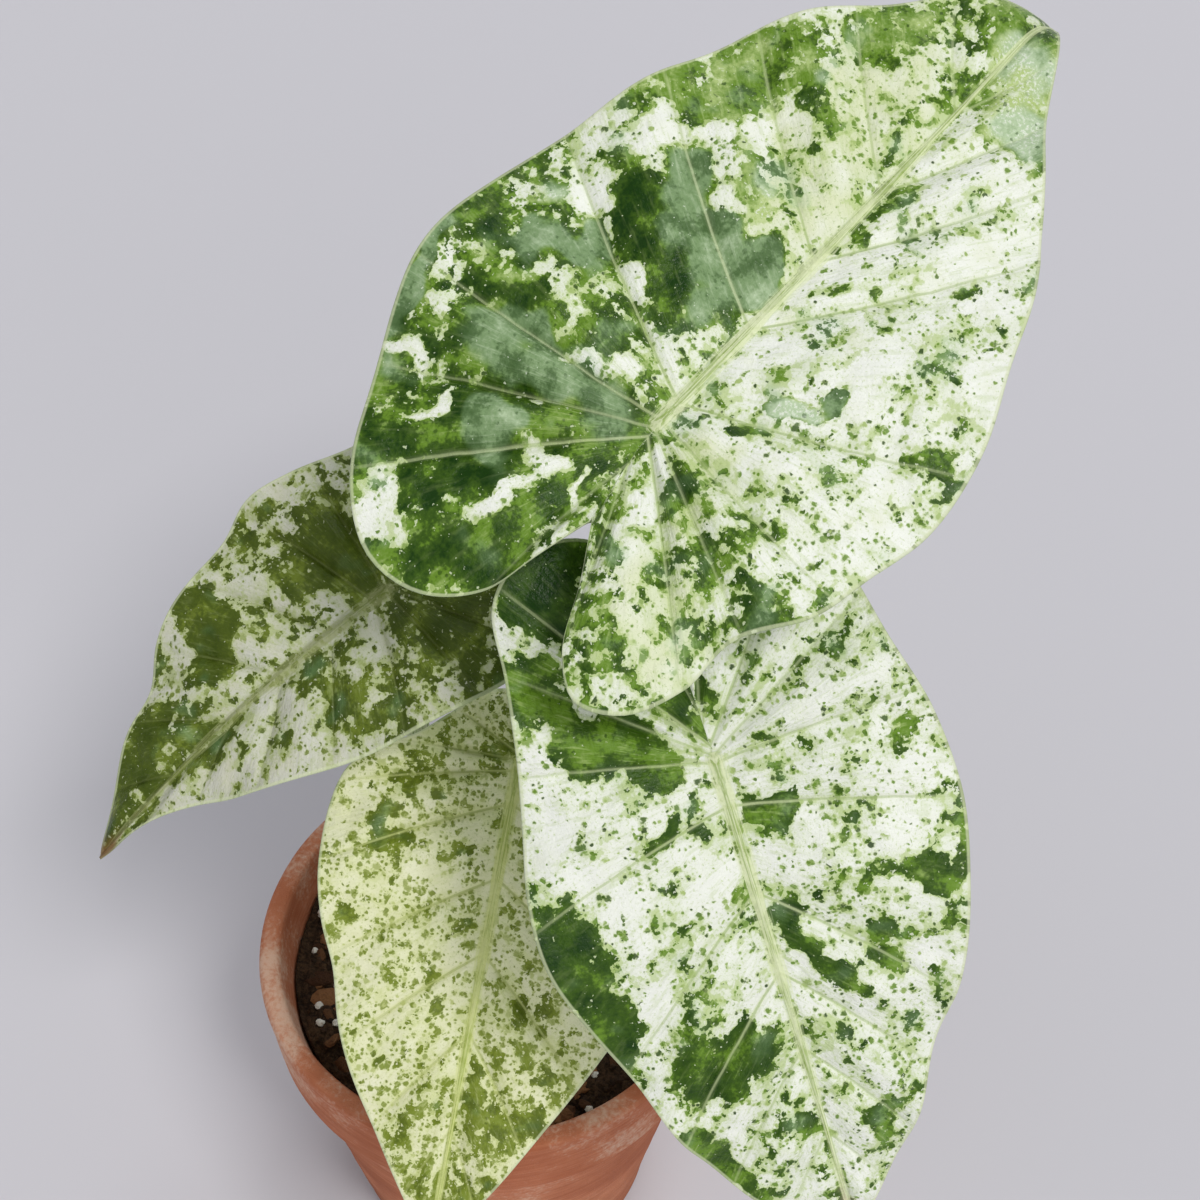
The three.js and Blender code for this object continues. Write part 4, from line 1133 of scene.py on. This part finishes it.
def stalk_path(leaf):
    """Points along the middle of a stalk, and the direction out of the pot's middle at its foot."""
    turn, side_turn, lean = (math.radians(leaf[key]) for key in ("socketAngle", "leanAngle", "lean"))
    start = about_axis(turn, STALK_RING_RADIUS, STALK_START_HEIGHT)
    leaning = about_axis(side_turn, math.sin(lean), math.cos(lean))
    normal = axes(leaf)[:, 2]
    end = np.array(leaf["joint"], float) - normal * STALK_CURVE_DEPTH
    low_reach, high_reach = np.array(leaf["stalkReach"]) * np.linalg.norm(end - start)
    t = np.linspace(0, 1, STALK_RINGS)[:, None]
    path = (1 - t) ** 3 * start + 3 * t * (1 - t) ** 2 * (start + leaning * low_reach)
    path += 3 * t**2 * (1 - t) * (end - normal * high_reach) + t**3 * end
    ahead = np.linspace(STALK_TOP_STEP, STALK_CURVE_DEPTH - STALK_END_DEPTH, STALK_TOP_RINGS)[:, None]
    return np.vstack([path, end + normal * ahead]), about_axis(turn)


def make_stalk(name, leaf, shader):
    path, outward = stalk_path(leaf)
    share = np.linspace(0, 1, len(path))[:, None]
    run = lengths_along(path)[:, None]
    tangent = unit(np.gradient(path, axis=0))
    inward = unit(-outward - tangent * (tangent @ -outward)[:, None])
    sideways = np.cross(tangent, inward)

    around = 2 * np.pi * np.arange(STALK_SIDES) / STALK_SIDES - np.pi
    around -= STALK_CROWDING * np.sin(2 * around)
    first, last = leaf["stalkRadius"]
    radius = first + (last - first) * share + STALK_FLARE * bell((run[-1] - run) / STALK_FLARE_REACH)
    radius *= 1 + STALK_SWELL * bell((run - STALK_SWELL_PLACE) / STALK_SWELL_REACH)
    groove = STALK_GROOVE * bell(around / STALK_GROOVE_WIDTH) * (1 - 0.5 * smooth(0.9, 1, share))
    rise = WING_HEIGHT * smooth(0.03, 0.1, share) * (1 - smooth(WING_SHARE - WING_FADE, WING_SHARE, share))
    wing = bell((np.abs(around) - WING_PLACE) / WING_WIDTH)
    size = radius * (1 - groove + STALK_FLUTES * np.cos(5 * around)) + rise * wing
    ring = np.cos(around)[None, :, None] * inward[:, None] + np.sin(around)[None, :, None] * sideways[:, None]
    grid = path[:, None] + ring * size[..., None]

    def with_ends(values, foot, top):
        return np.vstack([values.reshape(-1, 3), foot, top])

    marks = np.stack(np.broadcast_arrays(run, 3 * np.cos(around), 3 * np.sin(around)), -1)
    index = np.arange(size.size).reshape(size.shape)
    ends = [np.full(STALK_SIDES, size.size), np.full(STALK_SIDES, size.size + 1)]
    faces = woven(np.vstack([ends[0], index, ends[1]]))
    made = piece(name, with_ends(grid, path[0], path[-1]), faces, shader)
    mark(made, "flow", with_ends(marks, marks[0, 0], marks[-1, 0]))
    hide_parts(name.replace("_fine", ""))


make_pot()
make_soil()
make_litter()
make_stem()
make_sheaths()
stalk_look = stalk_shader()
for leaf_name, leaf in LEAVES.items():
    make_stalk("stalk_" + leaf_name + "_fine", leaf, stalk_look)


# The stage: a pale floor, four even suns as wide as a studio's soft boxes look from the plant, and a pale
# surround. The key and the window come from above, the front one and the fill lift the shadows. Each sun is
# (name, direction towards it, width in degrees, power, colour).
FLOOR_REACH = 20000
FLOOR_COLOUR = (206, 204, 210)
SUNS = [("key", (0.3, -0.45, 0.85), 14, 1.3, (1.0, 0.99, 0.96)),
        ("window", (0.3, 0.6, 0.75), 40, 0.6, (0.95, 0.98, 1.0)),
        ("front", (0.3, -0.85, 0.42), 40, 0.65, (1.0, 1.0, 0.98)),
        ("fill", (-0.8, -0.5, 0.8), 60, 0.25, (0.96, 0.98, 1.0))]
SURROUND_COLOUR = (0.86, 0.88, 0.92, 1)
SURROUND_POWER = 0.36

floor_corners = [(x * FLOOR_REACH, y * FLOOR_REACH, 0) for x, y in ((-1, -1), (1, -1), (1, 1), (-1, 1))]
floor = mesh_object("floor", floor_corners, [(0, 1, 2, 3)])
floor.data.materials.append(Shader("floor").finish(FLOOR_COLOUR, 0.9).material)

for name, towards, width, power, colour in SUNS:
    light = bpy.data.lights.new(name, "SUN")
    light.angle = math.radians(width)
    light.energy = power
    light.color = colour
    placed(name, light).rotation_euler = Vector(towards).to_track_quat("Z", "Y").to_euler()

scene = bpy.context.scene
scene.world = bpy.data.worlds.new("surround")
scene.world.use_nodes = True
background = scene.world.node_tree.nodes["Background"]
background.inputs["Color"].default_value = SURROUND_COLOUR
background.inputs["Strength"].default_value = SURROUND_POWER
scene.view_settings.view_transform = "Standard"

camera = bpy.data.cameras.new("camera")
camera.lens = CAMERA_LENS
camera.sensor_width = 36
camera.clip_start = 0.01
scene.camera = placed("camera", camera)
scene.camera.location = CAMERA_PLACE
scene.camera.rotation_euler = (math.radians(CAMERA_TILT), 0, 0)
